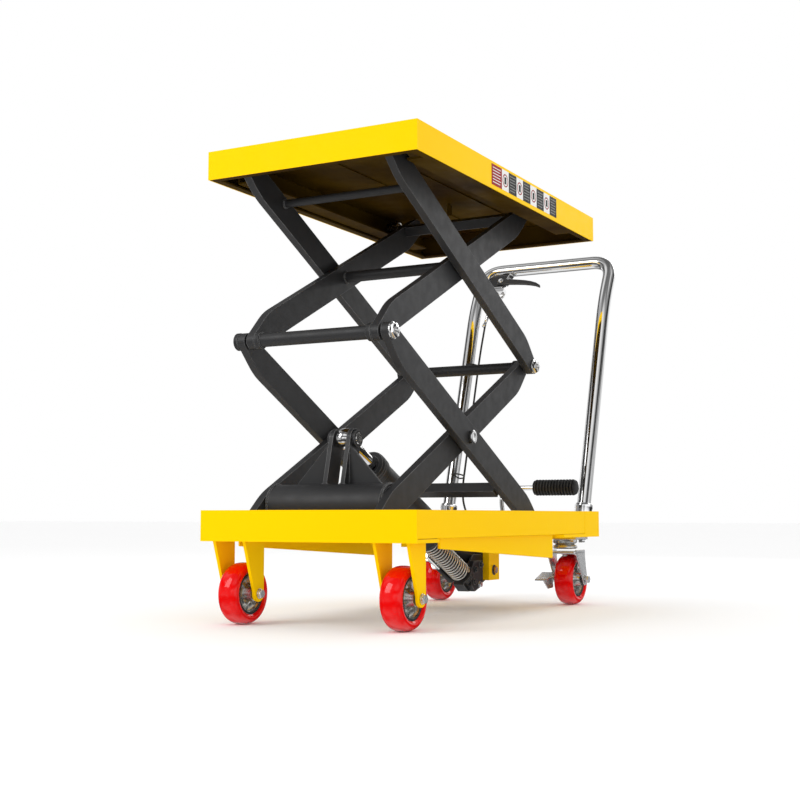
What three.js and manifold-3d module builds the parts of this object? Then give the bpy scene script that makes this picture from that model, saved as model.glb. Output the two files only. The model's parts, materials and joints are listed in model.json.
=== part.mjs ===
// Double-scissor lift table on castors, with a foot-pumped hydraulic ram.
// Millimetres. +Z is up, +Y points to the push handle, +X is across the table.
// Lengths along Y are measured from the middle of the base frame; the whole table
// is then shifted so that the origin is under the middle of its overall box.
import * as THREE from 'three';
import { mergeVertices } from 'three/addons/utils/BufferGeometryUtils.js';
import Module from 'manifold-3d';

const wasm = await Module();
wasm.setup();

// ---------------------------------------------------------------- driving dimensions
const GAP = 0.3; // free space left between neighbouring pieces

const BASE = { halfWidth: 258, front: -507, rear: 508, top: 240, bottom: 183, sheet: 5 };
const PLATFORM = { halfWidth: 256, halfLength: 499, top: 1014, skirt: 62, sheet: 4, lip: 20 };

// Scissor arms. Every arm is the same flat bar. Its two end pivots lie off the centre
// line, on opposite sides, so that the folded arms stack without touching.
const ARM = { half: 412, halfWidth: 30, lowOffset: 9, midOffset: 12, lowRadius: 21, midRadius: 18, cutFrom: 345 };
const OUTER = { inside: 165, outside: 183 };
const INNER = { inside: 142, outside: 160 };
const REST_ANGLE = THREE.MathUtils.degToRad(26.5);
const FIXED_PIVOT = { y: -470, z: 211.5 };

const WHEEL = { radius: 65, halfWidth: 25, seat: 44, hubHalf: 30.5 };
const FRONT_AXLE = { x: 193.5, y: -441 };
const SWIVEL = { x: 190, y: 440, trail: 38 };

const RAM_FOOT = { y: 284, z: 93 };
const RAM_EYE = { y: -345, z: 392 };
const RAM_TILT = THREE.MathUtils.degToRad(25.12);
const BARREL = { radius: 31, bore: 24, from: 40, to: 580, boreFrom: 100 };
const LUG = { near: 16.5, far: 26.5, radius: 22 };
const RAM_PIN = 12;
const ROD = { radius: 15, length: 500 };

const PUMP = { x: 28, drop: 56, springFrom: 113, springTo: 300, springRadius: 25, wire: 2.6, turns: 13, piston: 9 };
const PEDAL = { y: 675, z: 307, padFrom: 9, padTo: 134, padRadius: 22.5, armRadius: 6.5, pivotY: 335, pivotZ: 85 };

const HANDLE = { x: 200, radius: 18, footY: 535, footZ: 195, kneeY: 733, kneeZ: 826, topY: 806, topZ: 957 };
const HANDLE_LEAN = (HANDLE.kneeY - HANDLE.footY) / (HANDLE.kneeZ - HANDLE.footZ);

const ROLLER = { radius: 22, from: 196, to: 224, pin: 9, pinEnd: 227 };

// ---------------------------------------------------------------- materials
const paint = (color, roughness, metalness) => new THREE.MeshStandardMaterial({ color, roughness, metalness });
const YELLOW = paint(0xffd000, 0.3, 0.1);
const BLACK = paint(0x2b2b2b, 0.5, 0.3);
const CHROME = paint(0xd8d8d8, 0.12, 1.0);
const ZINC = paint(0xb4b6b8, 0.35, 0.9);
const RED = paint(0xc40d10, 0.22, 0.0);
const RUBBER = paint(0x101010, 0.8, 0.0);
const CORE = paint(0x303236, 0.4, 0.5);

// ---------------------------------------------------------------- solids
function solidOf(geometry) {
  const plain = geometry.clone();
  plain.deleteAttribute('normal');
  plain.deleteAttribute('uv');
  const merged = mergeVertices(plain, 1e-4);
  return new wasm.Manifold(new wasm.Mesh({
    numProp: 3,
    vertProperties: new Float32Array(merged.attributes.position.array),
    triVerts: new Uint32Array(merged.index.array),
  }));
}

function geometryOf(solid) {
  const found = solid.getMesh();
  const geometry = new THREE.BufferGeometry();
  geometry.setAttribute('position', new THREE.BufferAttribute(found.vertProperties, 3));
  geometry.setIndex(new THREE.BufferAttribute(found.triVerts, 1));
  return geometry;
}

const join = (first, ...others) => geometryOf(others.reduce((sum, next) => sum.add(solidOf(next)), solidOf(first)));

const cut = (first, ...others) => geometryOf(others.reduce((rest, next) => rest.subtract(solidOf(next)), solidOf(first)));

function box(x0, x1, y0, y1, z0, z1) {
  const block = new THREE.BoxGeometry(x1 - x0, y1 - y0, z1 - z0);
  return block.translate((x0 + x1) / 2, (y0 + y1) / 2, (z0 + z1) / 2);
}

// A flat outline drawn in Y and Z, given a thickness along X.
function plateAcross(shape, x0, x1) {
  const plate = new THREE.ExtrudeGeometry(shape, { depth: x1 - x0, bevelEnabled: false, curveSegments: 5 });
  const toYZ = new THREE.Matrix4().makeBasis(
    new THREE.Vector3(0, 1, 0),
    new THREE.Vector3(0, 0, 1),
    new THREE.Vector3(1, 0, 0),
  );
  return plate.applyMatrix4(toYZ).translate(x0, 0, 0);
}

// A flat outline drawn in X and Z, given a thickness along Y.
function plateAlong(shape, y0, y1) {
  const plate = new THREE.ExtrudeGeometry(shape, { depth: y1 - y0, bevelEnabled: false });
  return plate.rotateX(Math.PI / 2).translate(0, y1, 0);
}

function polygon(points) {
  return new THREE.Shape(points.map(([u, v]) => new THREE.Vector2(u, v)));
}

// A round bar between two points.
function bar(from, to, radius, sides = 16) {
  const start = new THREE.Vector3(...from);
  const end = new THREE.Vector3(...to);
  const along = end.clone().sub(start);
  const cylinder = new THREE.CylinderGeometry(radius, radius, along.length(), sides);
  const turn = new THREE.Quaternion().setFromUnitVectors(new THREE.Vector3(0, 1, 0), along.clone().normalize());
  cylinder.applyQuaternion(turn);
  const middle = start.add(end).multiplyScalar(0.5);
  return cylinder.translate(middle.x, middle.y, middle.z);
}

const barAcross = (x0, x1, y, z, radius, sides = 16) => bar([x0, y, z], [x1, y, z], radius, sides);

// A turned piece about the X axis. Each point is [distance along X, radius].
function turned(profile, sides = 24) {
  const points = profile.map(([x, radius]) => new THREE.Vector2(radius, x));
  if (THREE.ShapeUtils.area(points) < 0) points.reverse();
  return new THREE.LatheGeometry(points, sides).rotateZ(-Math.PI / 2);
}

// A round tube or cord that follows a line of points with rounded bends.
function routed(points, radius, bend, sides, steps) {
  const knots = points.map((point) => new THREE.Vector3(...point));
  const route = new THREE.CurvePath();
  let last = knots[0];
  for (let i = 1; i < knots.length - 1; i += 1) {
    const into = knots[i].clone().sub(knots[i - 1]);
    const out = knots[i + 1].clone().sub(knots[i]);
    const reach = Math.min(bend, into.length() * 0.45, out.length() * 0.45);
    const begin = knots[i].clone().addScaledVector(into.normalize(), -reach);
    const finish = knots[i].clone().addScaledVector(out.normalize(), reach);
    route.add(new THREE.LineCurve3(last, begin));
    route.add(new THREE.QuadraticBezierCurve3(begin, knots[i], finish));
    last = finish;
  }
  route.add(new THREE.LineCurve3(last, knots[knots.length - 1]));
  const section = new THREE.Shape();
  for (let i = 0; i < sides; i += 1) {
    const angle = (2 * Math.PI * i) / sides;
    const move = i === 0 ? 'moveTo' : 'lineTo';
    section[move](radius * Math.cos(angle), radius * Math.sin(angle));
  }
  return new THREE.ExtrudeGeometry(section, { steps, extrudePath: route, bevelEnabled: false });
}

function piece(name, geometry, material, y = 0, z = 0, tilt = 0) {
  const mesh = new THREE.Mesh(geometry, material);
  mesh.name = name;
  mesh.position.set(0, y, z);
  mesh.rotation.x = tilt;
  return mesh;
}

const SIDES = [['left', -1], ['right', 1]];

// Orders a pair of X positions for the left or the right side.
const span = (side, near, far) => (side > 0 ? [near, far] : [-far, -near]);

// ---------------------------------------------------------------- base frame
function frontBeam() {
  const { halfWidth, front, top, sheet } = BASE;
  const panel = box(-halfWidth, halfWidth, front, front + sheet, 175, top);
  const lugs = [];
  for (const [, side] of SIDES) {
    for (const [near, far] of [[INNER.outside + 2, INNER.outside + 8], [INNER.inside - 8, INNER.inside - 2]]) {
      const lug = box(...span(side, near, far), front + sheet - 1, FIXED_PIVOT.y + 18, 192, 236);
      lugs.push(cut(lug, barAcross(...span(side, near - 1, far + 1), FIXED_PIVOT.y, FIXED_PIVOT.z, 10.3)));
    }
  }
  return join(panel, ...lugs);
}

// A channel open towards the middle of the table, with a deep skirt plate under it.
function sideRail(side) {
  const { halfWidth, front, top, bottom, sheet } = BASE;
  const [y0, y1] = [front + sheet + GAP, 405];
  const web = box(...span(side, halfWidth - sheet, halfWidth), y0, y1, bottom + GAP, top);
  const upper = box(...span(side, 194, halfWidth), y0, y1, top - sheet, top);
  const lower = box(...span(side, 194, halfWidth), y0, y1, bottom + GAP, bottom + GAP + sheet);
  const outline = polygon([[-386, 162], [215, 127], [215, 186], [-386, 186]]);
  return join(web, upper, lower, plateAcross(outline, ...span(side, 241, 247)));
}

function rearBeam() {
  const { halfWidth, rear, top, bottom, sheet } = BASE;
  const from = 405 + GAP;
  const wall = box(-halfWidth, halfWidth, rear - sheet, rear, bottom - 1, top);
  const cover = box(-halfWidth, halfWidth, from, rear, top - sheet, top);
  const parts = [cover];
  for (const [, side] of SIDES) {
    parts.push(box(...span(side, halfWidth - sheet, halfWidth), from, rear, bottom - 1, top));
    parts.push(box(...span(side, 170, 232), rear - sheet, 562, 182, 188));
    parts.push(castorPad(side));
  }
  return join(wall, ...parts);
}

// The flat pad under each rear corner that the swivel castor is bolted to.
function castorPad(side) {
  const outline = new THREE.Shape();
  const [inner, outer] = [140, BASE.halfWidth];
  outline.moveTo(side * inner, BASE.rear);
  outline.lineTo(side * outer, BASE.rear);
  outline.lineTo(side * outer, 262);
  outline.lineTo(side * (outer - 16), 246);
  outline.lineTo(side * inner, 246);
  const pad = new THREE.ExtrudeGeometry(outline, { depth: 8, bevelEnabled: false });
  return pad.translate(0, 0, BASE.bottom - 8);
}

// The beam across the frame that carries the foot of the ram between two angle brackets.
function crossBeam() {
  const beam = box(-190, 190, 255, 315, 148, BASE.bottom - 8 - GAP);
  const parts = [];
  for (const [, side] of SIDES) {
    const cheek = box(...span(side, 55, 60), 254, 316, 68, 160);
    const hole = barAcross(...span(side, 54, 61), RAM_FOOT.y, RAM_FOOT.z, 8.3);
    parts.push(cut(cheek, hole));
    parts.push(box(...span(side, 43, 60), 254, 259, 68, 160));
  }
  return join(beam, ...parts);
}

function handleRoute() {
  const { x, footY, footZ, kneeY, kneeZ, topY, topZ } = HANDLE;
  return [
    [-x, footY, footZ], [-x, kneeY, kneeZ], [-x, topY, topZ],
    [x, topY, topZ], [x, kneeY, kneeZ], [x, footY, footZ],
  ];
}

const handleTube = (radius) => routed(handleRoute(), radius, 62, 10, 60);

function handleSocket(side) {
  const at = (z) => [side * HANDLE.x, HANDLE.footY + (z - HANDLE.footZ) * HANDLE_LEAN, z];
  const sleeve = bar(at(197), at(258), 22.5);
  return cut(sleeve, bar(at(150), at(300), HANDLE.radius + 1.2));
}

// ---------------------------------------------------------------- castors
// Tyre profile: a flat inside face on the wheel core and a rounded tread.
function tyre() {
  const { radius, halfWidth, seat } = WHEEL;
  const profile = [[-21, seat], [-24, seat + 6]];
  const steps = 4;
  for (let i = 0; i <= steps; i += 1) {
    const angle = Math.PI * (1 - i / steps);
    const across = halfWidth * Math.sign(Math.cos(angle)) * Math.abs(Math.cos(angle)) ** 0.8;
    profile.push([across, 50 + (radius - 50) * Math.sin(angle) ** 0.8]);
  }
  profile.push([24, seat + 6], [21, seat], [-21, seat]);
  return turned(profile, 28);
}

function wheelCore() {
  const { seat, hubHalf } = WHEEL;
  const rim = seat - GAP;
  const half = [[hubHalf, 10.3], [hubHalf, 18], [14, 20], [14, 37], [20.5, rim]];
  const other = half.map(([x, radius]) => [-x, radius]).reverse();
  return turned([...half, ...other, half[0]], 20);
}

// Fixed fork: a pad under the frame corner and two tapered cheeks.
function frontFork(side) {
  const zTop = BASE.bottom - 0.5;
  const pad = box(...span(side, 144, BASE.halfWidth), BASE.front + BASE.sheet + GAP, -410, 175, zTop);
  const cheek = new THREE.Shape();
  cheek.moveTo(-495, 176);
  cheek.lineTo(-458, WHEEL.radius + 4);
  cheek.absarc(FRONT_AXLE.y, WHEEL.radius, 17, Math.PI, 2 * Math.PI, false);
  cheek.lineTo(-424, 176);
  const parts = [[152, 159], [228, 235]].map(([near, far]) => plateAcross(cheek, ...span(side, near, far)));
  const hole = barAcross(...span(side, 140, 250), FRONT_AXLE.y, WHEEL.radius, 8.3);
  return cut(join(pad, ...parts), hole);
}

// Axle bolt with a head and a nut; the profile runs from one end to the other.
function axleBolt(reach, radius, head) {
  const tip = reach + 8;
  return turned([
    [-tip, 0], [-tip, head], [-reach, head], [-reach, radius],
    [reach, radius], [reach, head], [tip, head], [tip, 0],
  ], 12);
}

const swivelPlate = () => cut(
  box(-46, 46, -42, 42, 168, 174.5),
  bar([0, 0, 160], [0, 0, 180], 8),
);

// Swivel fork: kingpin, ball race, crown and two raked cheeks.
function swivelFork() {
  const kingpin = bar([0, 0, 150], [0, 0, 173.5], 7.5);
  const race = bar([0, 0, 143], [0, 0, 167.5], 30, 24);
  const crown = box(-41, 41, -34, 38, 137, 144);
  const cheek = new THREE.Shape();
  cheek.moveTo(-30, 143);
  cheek.lineTo(SWIVEL.trail - 15, WHEEL.radius);
  cheek.absarc(SWIVEL.trail, WHEEL.radius, 15, Math.PI, 2 * Math.PI, false);
  cheek.lineTo(34, 143);
  const cheeks = [plateAcross(cheek, -41, -37), plateAcross(cheek, 37, 41)];
  return cut(join(crown, kingpin, race, ...cheeks), barAcross(-50, 50, SWIVEL.trail, WHEEL.radius, 6.3));
}

// Foot brake: a sloping tread beside the wheel, stiffened by a triangular plate under it,
// and an arm that runs from the tread, inside the fork's cheek, to the axle.
function footBrake() {
  const { trail } = SWIVEL;
  const { radius } = WHEEL;
  const arm = new THREE.Shape();
  arm.moveTo(trail + 12, radius);
  arm.absarc(trail, radius, 12, 0, Math.PI / 2, false);
  arm.lineTo(7, 82);
  arm.lineTo(-20, 72.5);
  arm.lineTo(trail, radius - 12);
  arm.absarc(trail, radius, 12, -Math.PI / 2, 0, false);
  const tread = polygon([[-44, 62.5], [8, 80], [8, 83.5], [-44, 66]]);
  const stiffener = polygon([[-43, 64], [-11, 41], [24, 43], [24, 80], [8, 82]]);
  const plates = join(
    plateAcross(tread, -67, -32.5),
    plateAcross(stiffener, -46, -43),
    plateAcross(arm, -35.5, -32.5),
  );
  return cut(plates, barAcross(-39, -30, trail, radius, 6.3));
}

// ---------------------------------------------------------------- scissor arms
// The slope at which a straight edge leaves a corner and just touches an end radius.
function taper(run, drop, radius) {
  return Math.atan2(drop, run) - Math.asin(radius / Math.hypot(run, drop));
}

// Arm outline about its centre pivot: the middle-level end at +along, the other at -along.
function armOutline() {
  const { half, halfWidth, lowOffset, midOffset, lowRadius, midRadius, cutFrom } = ARM;
  const midSlope = taper(half - cutFrom, halfWidth + midOffset, midRadius);
  const lowSlope = taper(half - cutFrom, halfWidth + lowOffset, lowRadius);
  const soft = 24;
  const outline = new THREE.Shape();
  outline.moveTo(-half, -halfWidth);
  outline.lineTo(cutFrom - soft, -halfWidth);
  outline.quadraticCurveTo(
    cutFrom, -halfWidth,
    cutFrom + soft * Math.cos(midSlope), -halfWidth + soft * Math.sin(midSlope),
  );
  outline.absarc(half, midOffset, midRadius, midSlope - Math.PI / 2, Math.PI / 2, false);
  outline.lineTo(soft - cutFrom, halfWidth);
  outline.quadraticCurveTo(
    -cutFrom, halfWidth,
    -cutFrom - soft * Math.cos(lowSlope), halfWidth - soft * Math.sin(lowSlope),
  );
  outline.absarc(-half, -lowOffset, lowRadius, lowSlope + Math.PI / 2, 1.5 * Math.PI, false);
  return outline;
}

// Inner arm: welded pivot pins at its centre and low end, a hole at its middle-level end.
function innerArm(side, centrePin, endPins) {
  const [x0, x1] = span(side, INNER.inside, INNER.outside);
  const blank = cut(plateAcross(armOutline(), x0, x1), barAcross(x0 - 1, x1 + 1, ARM.half, ARM.midOffset, 10.3));
  const [c0, c1] = span(side, INNER.outside - 1, centrePin);
  const [e0, e1] = span(side, ...endPins);
  const radius = centrePin > OUTER.outside ? 14 : 12;
  return join(
    blank,
    barAcross(c0, c1, 0, 0, radius),
    barAcross(e0, e1, -ARM.half, -ARM.lowOffset, endPins[1] === ROLLER.pinEnd ? ROLLER.pin : 10),
  );
}

// Outer arm, drawn as the mirror image of an inner arm.
function outerArm(side, centreHole, endPin, flip) {
  const [x0, x1] = span(side, OUTER.inside, OUTER.outside);
  const mirrored = plateAcross(armOutline(), x0, x1).rotateZ(Math.PI).translate(x0 + x1, 0, 0);
  const holes = [
    barAcross(x0 - 1, x1 + 1, -ARM.half, ARM.midOffset, 10.3),
    barAcross(...span(side, ...centreHole), 0, 0, flip ? 12.3 : 14.3),
  ];
  const pin = barAcross(...span(side, OUTER.outside - 1, endPin), ARM.half, -ARM.lowOffset, flip ? 10 : ROLLER.pin);
  return join(cut(mirrored, ...holes), pin);
}

// Axle at the middle level: a stout tube between the inner arms, necked down to pass
// through both arms of each side, with a nut outside each outer arm.
function middleAxle(radius) {
  const half = [
    [INNER.inside - GAP, radius], [INNER.inside - GAP, 10], [OUTER.outside + GAP, 10],
    [OUTER.outside + GAP, 18], [193, 18], [193, 7], [198, 7], [198, 0],
  ];
  const other = half.map(([x, r]) => [-x, r]).reverse();
  return turned([...other, ...half], 16);
}

// Where a pivot of the folding frame lies at rest. The stage rises from the fixed pivot.
const rise = {
  low: ARM.half * Math.sin(REST_ANGLE) + ARM.lowOffset * Math.cos(REST_ANGLE),
  mid: ARM.half * Math.sin(REST_ANGLE) + ARM.midOffset * Math.cos(REST_ANGLE),
};
const LOWER_CENTRE = {
  y: FIXED_PIVOT.y + ARM.half * Math.cos(REST_ANGLE) - ARM.lowOffset * Math.sin(REST_ANGLE),
  z: FIXED_PIVOT.z + rise.low,
};
const UPPER_CENTRE = { y: LOWER_CENTRE.y, z: LOWER_CENTRE.z + 2 * rise.mid };
const MIDDLE_REACH = ARM.half * Math.cos(REST_ANGLE) - ARM.midOffset * Math.sin(REST_ANGLE);
const MIDDLE_Z = LOWER_CENTRE.z + rise.mid;
const TOP_PIVOT_Z = UPPER_CENTRE.z + rise.low;
const ROLLER_Y = 2 * LOWER_CENTRE.y - FIXED_PIVOT.y;

// The cross tube that takes the ram's push, with the two lug plates that hold its pin
// and a triangular gusset outside each lug.
function liftBeam() {
  const [y, z, radius] = [-395, 250, 44.5];
  const reach = INNER.inside - GAP;
  const { near, far } = LUG;
  const lug = new THREE.Shape();
  lug.moveTo(y - 4, z + 20);
  lug.lineTo(RAM_EYE.y - LUG.radius, RAM_EYE.z + 5);
  lug.absarc(RAM_EYE.y, RAM_EYE.z, LUG.radius, Math.PI - 0.2, 0.1, true);
  lug.lineTo(y + 43, z + 12);
  lug.lineTo(y + 10, z - 20);
  const parts = [];
  for (const [, side] of SIDES) {
    const gusset = polygon([[side * (far - 1), 285], [side * 113, 285], [side * (far - 1), 380]]);
    parts.push(plateAcross(lug, ...span(side, near, far)));
    parts.push(plateAlong(gusset, -372, -364));
  }
  const tube = join(barAcross(-reach, reach, y, z, radius, 28), ...parts);
  const inside = barAcross(-200, 200, y, z, radius - 6, 20);
  return cut(tube, inside, barAcross(-60, 60, RAM_EYE.y, RAM_EYE.z, RAM_PIN + GAP));
}

const ramPin = () => axleBolt(LUG.far + GAP, RAM_PIN, 19).translate(0, RAM_EYE.y, RAM_EYE.z);

// ---------------------------------------------------------------- ram and pump
// A point in the ram's own directions: along it from the foot, and square to it, upwards.
function onRam(along, up, x = 0) {
  const y = RAM_FOOT.y - along * Math.cos(RAM_TILT) + up * Math.sin(RAM_TILT);
  const z = RAM_FOOT.z + along * Math.sin(RAM_TILT) + up * Math.cos(RAM_TILT);
  return [x, y, z];
}

function ramBarrel() {
  const { radius, bore, from, to, boreFrom } = BARREL;
  const body = bar(onRam(from, 0), onRam(to, 0), radius, 28);
  const collar = bar(onRam(to - 34, 0), onRam(to, 0), radius + 3.5, 28);
  return cut(join(body, collar), bar(onRam(boreFrom, 0), onRam(to + 5, 0), bore, 28));
}

function ramRod() {
  const eyeAt = (along) => [
    0,
    RAM_EYE.y + along * Math.cos(RAM_TILT),
    RAM_EYE.z - along * Math.sin(RAM_TILT),
  ];
  const eye = barAcross(-16, 16, RAM_EYE.y, RAM_EYE.z, 18.5, 24);
  const rod = bar(eyeAt(4), eyeAt(ROD.length), ROD.radius, 24);
  return cut(join(eye, rod), barAcross(-20, 20, RAM_EYE.y, RAM_EYE.z, RAM_PIN + GAP));
}

// The pump casting: a body on the ram's foot, a housing for the piston and a side cheek.
function pumpBlock() {
  const [, lowY, lowZ] = onRam(112, -88);
  const [, highY, highZ] = onRam(112, -30);
  const bodyOutline = polygon([
    [236, 56], [284, 72], [340, 75], [352, 90], [352, 112], [318, 132], [262, 142], [236, 130],
  ]);
  const besidePedal = box(-40, -4, 200, 300, 30, 150);
  const housingOutline = polygon([[lowY, lowZ], [172, 44], [194, 45], [240, 57], [240, 112], [highY, highZ]]);
  const cheekOutline = polygon([[168, 58], [184, 44], [240, 60], [240, 133], [198, 133], [164, 98]]);
  const casting = join(
    plateAcross(bodyOutline, -38, 54),
    plateAcross(housingOutline, 14, 42),
    plateAcross(cheekOutline, 38, 54),
  );
  const slots = [box(42.5, 70, 230, 400, 0, 200), box(42.5, 70, 100, 400, 118, 200), besidePedal];
  const barrelSeat = bar(onRam(BARREL.from - GAP, 0), onRam(200, 0), BARREL.radius + 0.6, 28);
  const pistonBore = bar(onRam(26, -PUMP.drop, PUMP.x), onRam(130, -PUMP.drop, PUMP.x), PUMP.piston + 0.6);
  const foot = barAcross(-64, 64, RAM_FOOT.y, RAM_FOOT.z, 8);
  const pedalPin = barAcross(-58, -37, PEDAL.pivotY, PEDAL.pivotZ, 7);
  return join(cut(casting, ...slots, barrelSeat, pistonBore), foot, pedalPin);
}

function pumpPiston() {
  const at = (along) => onRam(along, -PUMP.drop, PUMP.x);
  const stem = bar(at(60), at(PUMP.springTo + 2), PUMP.piston);
  return join(stem, bar(at(PUMP.springTo + 1), at(PUMP.springTo + 9), PUMP.springRadius + 2, 20));
}

function pumpSpring() {
  const { springFrom, springTo, springRadius, wire, turns } = PUMP;
  const reach = springTo - springFrom - 2 * wire;
  class Helix extends THREE.Curve {
    getPoint(t) {
      const angle = 2 * Math.PI * turns * t;
      const radius = springRadius - wire;
      return new THREE.Vector3(radius * Math.cos(angle), t * reach, radius * Math.sin(angle));
    }
  }
  const section = new THREE.Shape();
  section.absarc(0, 0, wire, 0, 2 * Math.PI, false);
  const coil = new THREE.ExtrudeGeometry(section, {
    steps: turns * 6,
    extrudePath: new Helix(),
    curveSegments: 3,
    bevelEnabled: false,
  });
  coil.rotateX(Math.PI - RAM_TILT);
  return coil.translate(...onRam(springFrom + wire, -PUMP.drop, PUMP.x));
}

// The pedal rod: across from the pad, down in a hook behind the frame, then forward.
function pedalArm() {
  const { y, z, padFrom, armRadius, pivotY, pivotZ } = PEDAL;
  const rod = routed([
    [padFrom - 1, y, z], [-84, y, z], [-90, y - 8, z - 34], [-47, 600, 148], [-47, pivotY + 4, pivotZ],
  ], armRadius, 26, 8, 40);
  const hub = barAcross(-54, -40, pivotY, pivotZ, 13);
  return cut(join(rod, hub), barAcross(-60, -38.5, pivotY, pivotZ, 7.3));
}

// Ribbed rubber foot pad.
function pedalPad() {
  const { padFrom, padTo, padRadius } = PEDAL;
  const ribs = 12;
  const pitch = (padTo - padFrom - 6) / ribs;
  const profile = [[padFrom, 0], [padFrom, padRadius - 3]];
  for (let i = 0; i < ribs; i += 1) {
    const x = padFrom + 3 + i * pitch;
    profile.push([x, padRadius - 2.5], [x + pitch / 2, padRadius]);
  }
  profile.push([padTo - 3, padRadius - 2.5], [padTo, padRadius - 6], [padTo, 0]);
  return turned(profile, 14).translate(0, PEDAL.y, PEDAL.z);
}

// ---------------------------------------------------------------- hand release
// The bent-back top of the handle lies in a sloping plane. This places a flat outline,
// drawn in X and in height up that plane, with a thickness square to it.
function plateOnHandle(shape, near, far) {
  const up = new THREE.Vector3(0, HANDLE.topY - HANDLE.kneeY, HANDLE.topZ - HANDLE.kneeZ).normalize();
  const across = new THREE.Vector3(1, 0, 0);
  const normal = across.clone().cross(up);
  const plate = new THREE.ExtrudeGeometry(shape, { depth: far - near, bevelEnabled: false, curveSegments: 6 });
  plate.translate(0, 0, near);
  plate.applyMatrix4(new THREE.Matrix4().makeBasis(across, up, normal));
  return plate.translate(0, HANDLE.kneeY, HANDLE.kneeZ);
}

const LEVER_PIVOT = { x: -134, up: 104 };

function leverBracket() {
  const outline = polygon([[-196, 112], [-186, 144], [-100, 153], [-112, 122], [-122, 92], [-158, 80], [-188, 86]]);
  const pivot = new THREE.Shape();
  pivot.absarc(LEVER_PIVOT.x, LEVER_PIVOT.up, 4.4, 0, 2 * Math.PI, false);
  return cut(plateOnHandle(outline, -4, 4), handleTube(HANDLE.radius + 0.4), plateOnHandle(pivot, -8, 8));
}

// Finger lever with its pivot pin, in front of the bracket.
function handLever() {
  const { x, up } = LEVER_PIVOT;
  const outline = new THREE.Shape();
  outline.moveTo(x - 12, up + 8);
  outline.lineTo(x + 6, up + 8);
  outline.quadraticCurveTo(x + 90, up - 2, x + 132, up - 28);
  outline.lineTo(x + 127, up - 34);
  outline.quadraticCurveTo(x + 84, up - 17, x + 4, up - 12);
  outline.lineTo(x - 14, up - 12);
  const pin = new THREE.Shape();
  pin.absarc(x, up, 4, 0, 2 * Math.PI, false);
  return join(plateOnHandle(outline, 4.4, 13), plateOnHandle(pin, -7, 12));
}

// The release cable: from the lever down the left post and under the frame to the pump.
function releaseCable() {
  return routed([
    [-152, 772, 882], [-156, 757, 846], [-170, 742, 800], [-172, 706, 700], [-172, 586, 315],
    [-166, 574, 262], [-120, 556, 180], [-60, 500, 160], [-16, 430, 146], [-14, 360, 104],
  ], 2.6, 40, 6, 48);
}

// ---------------------------------------------------------------- platform
function platform() {
  const { halfWidth, halfLength, top, skirt, sheet, lip } = PLATFORM;
  const low = top - skirt;
  const parts = [];
  for (const [, side] of SIDES) {
    const wall = span(side, halfWidth - sheet, halfWidth);
    const ledge = span(side, halfWidth - lip, halfWidth);
    const end = span(side, halfLength - sheet, halfLength);
    const endLedge = span(side, halfLength - lip, halfLength);
    parts.push(box(...wall, -halfLength, halfLength, low, top));
    parts.push(box(...ledge, -halfLength, halfLength, low, low + sheet));
    parts.push(box(-halfWidth, halfWidth, ...end, low, top));
    parts.push(box(-halfWidth, halfWidth, ...endLedge, low, low + sheet));
    parts.push(...rollerTrack(side));
  }
  return join(box(-halfWidth, halfWidth, -halfLength, halfLength, top - sheet, top), ...parts);
}

// The track that the upper rollers run in, and the lug that holds the front top pivot.
function rollerTrack(side) {
  const under = PLATFORM.top - PLATFORM.sheet + 0.5;
  const floor = TOP_PIVOT_Z - ROLLER.radius - 1;
  const lug = box(...span(side, 186.5, 192.5), -494, FIXED_PIVOT.y + 18, TOP_PIVOT_Z - 18, under);
  return [
    box(...span(side, 229, 233), -420, 400, floor - 4, under),
    box(...span(side, 190, 233), -420, 400, floor - 4, floor),
    cut(lug, barAcross(...span(side, 186, 193), FIXED_PIVOT.y, TOP_PIVOT_Z, 10.3)),
  ];
}

// ---------------------------------------------------------------- assembly
const table = new THREE.Group();
const OVERALL_FRONT = BASE.front;
const OVERALL_REAR = HANDLE.topY + HANDLE.radius;
table.position.y = -(OVERALL_FRONT + OVERALL_REAR) / 2;

function addBase() {
  table.add(piece('base_front_beam', frontBeam(), YELLOW));
  table.add(piece('base_rear_beam', rearBeam(), YELLOW));
  table.add(piece('base_cross_beam', crossBeam(), YELLOW));
  table.add(piece('push_handle', handleTube(HANDLE.radius), CHROME));
  for (const [name, side] of SIDES) {
    table.add(piece(`base_rail_${name}`, sideRail(side), YELLOW));
    table.add(piece(`handle_socket_${name}`, handleSocket(side), CHROME));
  }
}

function addFrontCastors() {
  for (const [name, side] of SIDES) {
    table.add(piece(`front_fork_${name}`, frontFork(side), YELLOW));
    const castor = new THREE.Group();
    castor.position.set(side * FRONT_AXLE.x, FRONT_AXLE.y, WHEEL.radius);
    castor.add(piece(`front_tyre_${name}`, tyre(), RED));
    castor.add(piece(`front_wheel_core_${name}`, wheelCore(), CORE));
    castor.add(piece(`front_axle_${name}`, axleBolt(41.8, 8, 14), ZINC));
    table.add(castor);
  }
}

function addRearCastors() {
  for (const [name, side] of SIDES) {
    const castor = new THREE.Group();
    castor.position.set(side * SWIVEL.x, SWIVEL.y, 0);
    castor.add(piece(`swivel_plate_${name}`, swivelPlate(), ZINC));
    castor.add(piece(`swivel_fork_${name}`, swivelFork(), ZINC));
    castor.add(piece(`foot_brake_${name}`, footBrake(), ZINC));
    castor.add(piece(`rear_tyre_${name}`, tyre(), RED, SWIVEL.trail, WHEEL.radius));
    castor.add(piece(`rear_wheel_core_${name}`, wheelCore(), CORE, SWIVEL.trail, WHEEL.radius));
    castor.add(piece(`rear_axle_${name}`, axleBolt(41.4, 6, 12), ZINC, SWIVEL.trail, WHEEL.radius));
    table.add(castor);
  }
}

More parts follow.
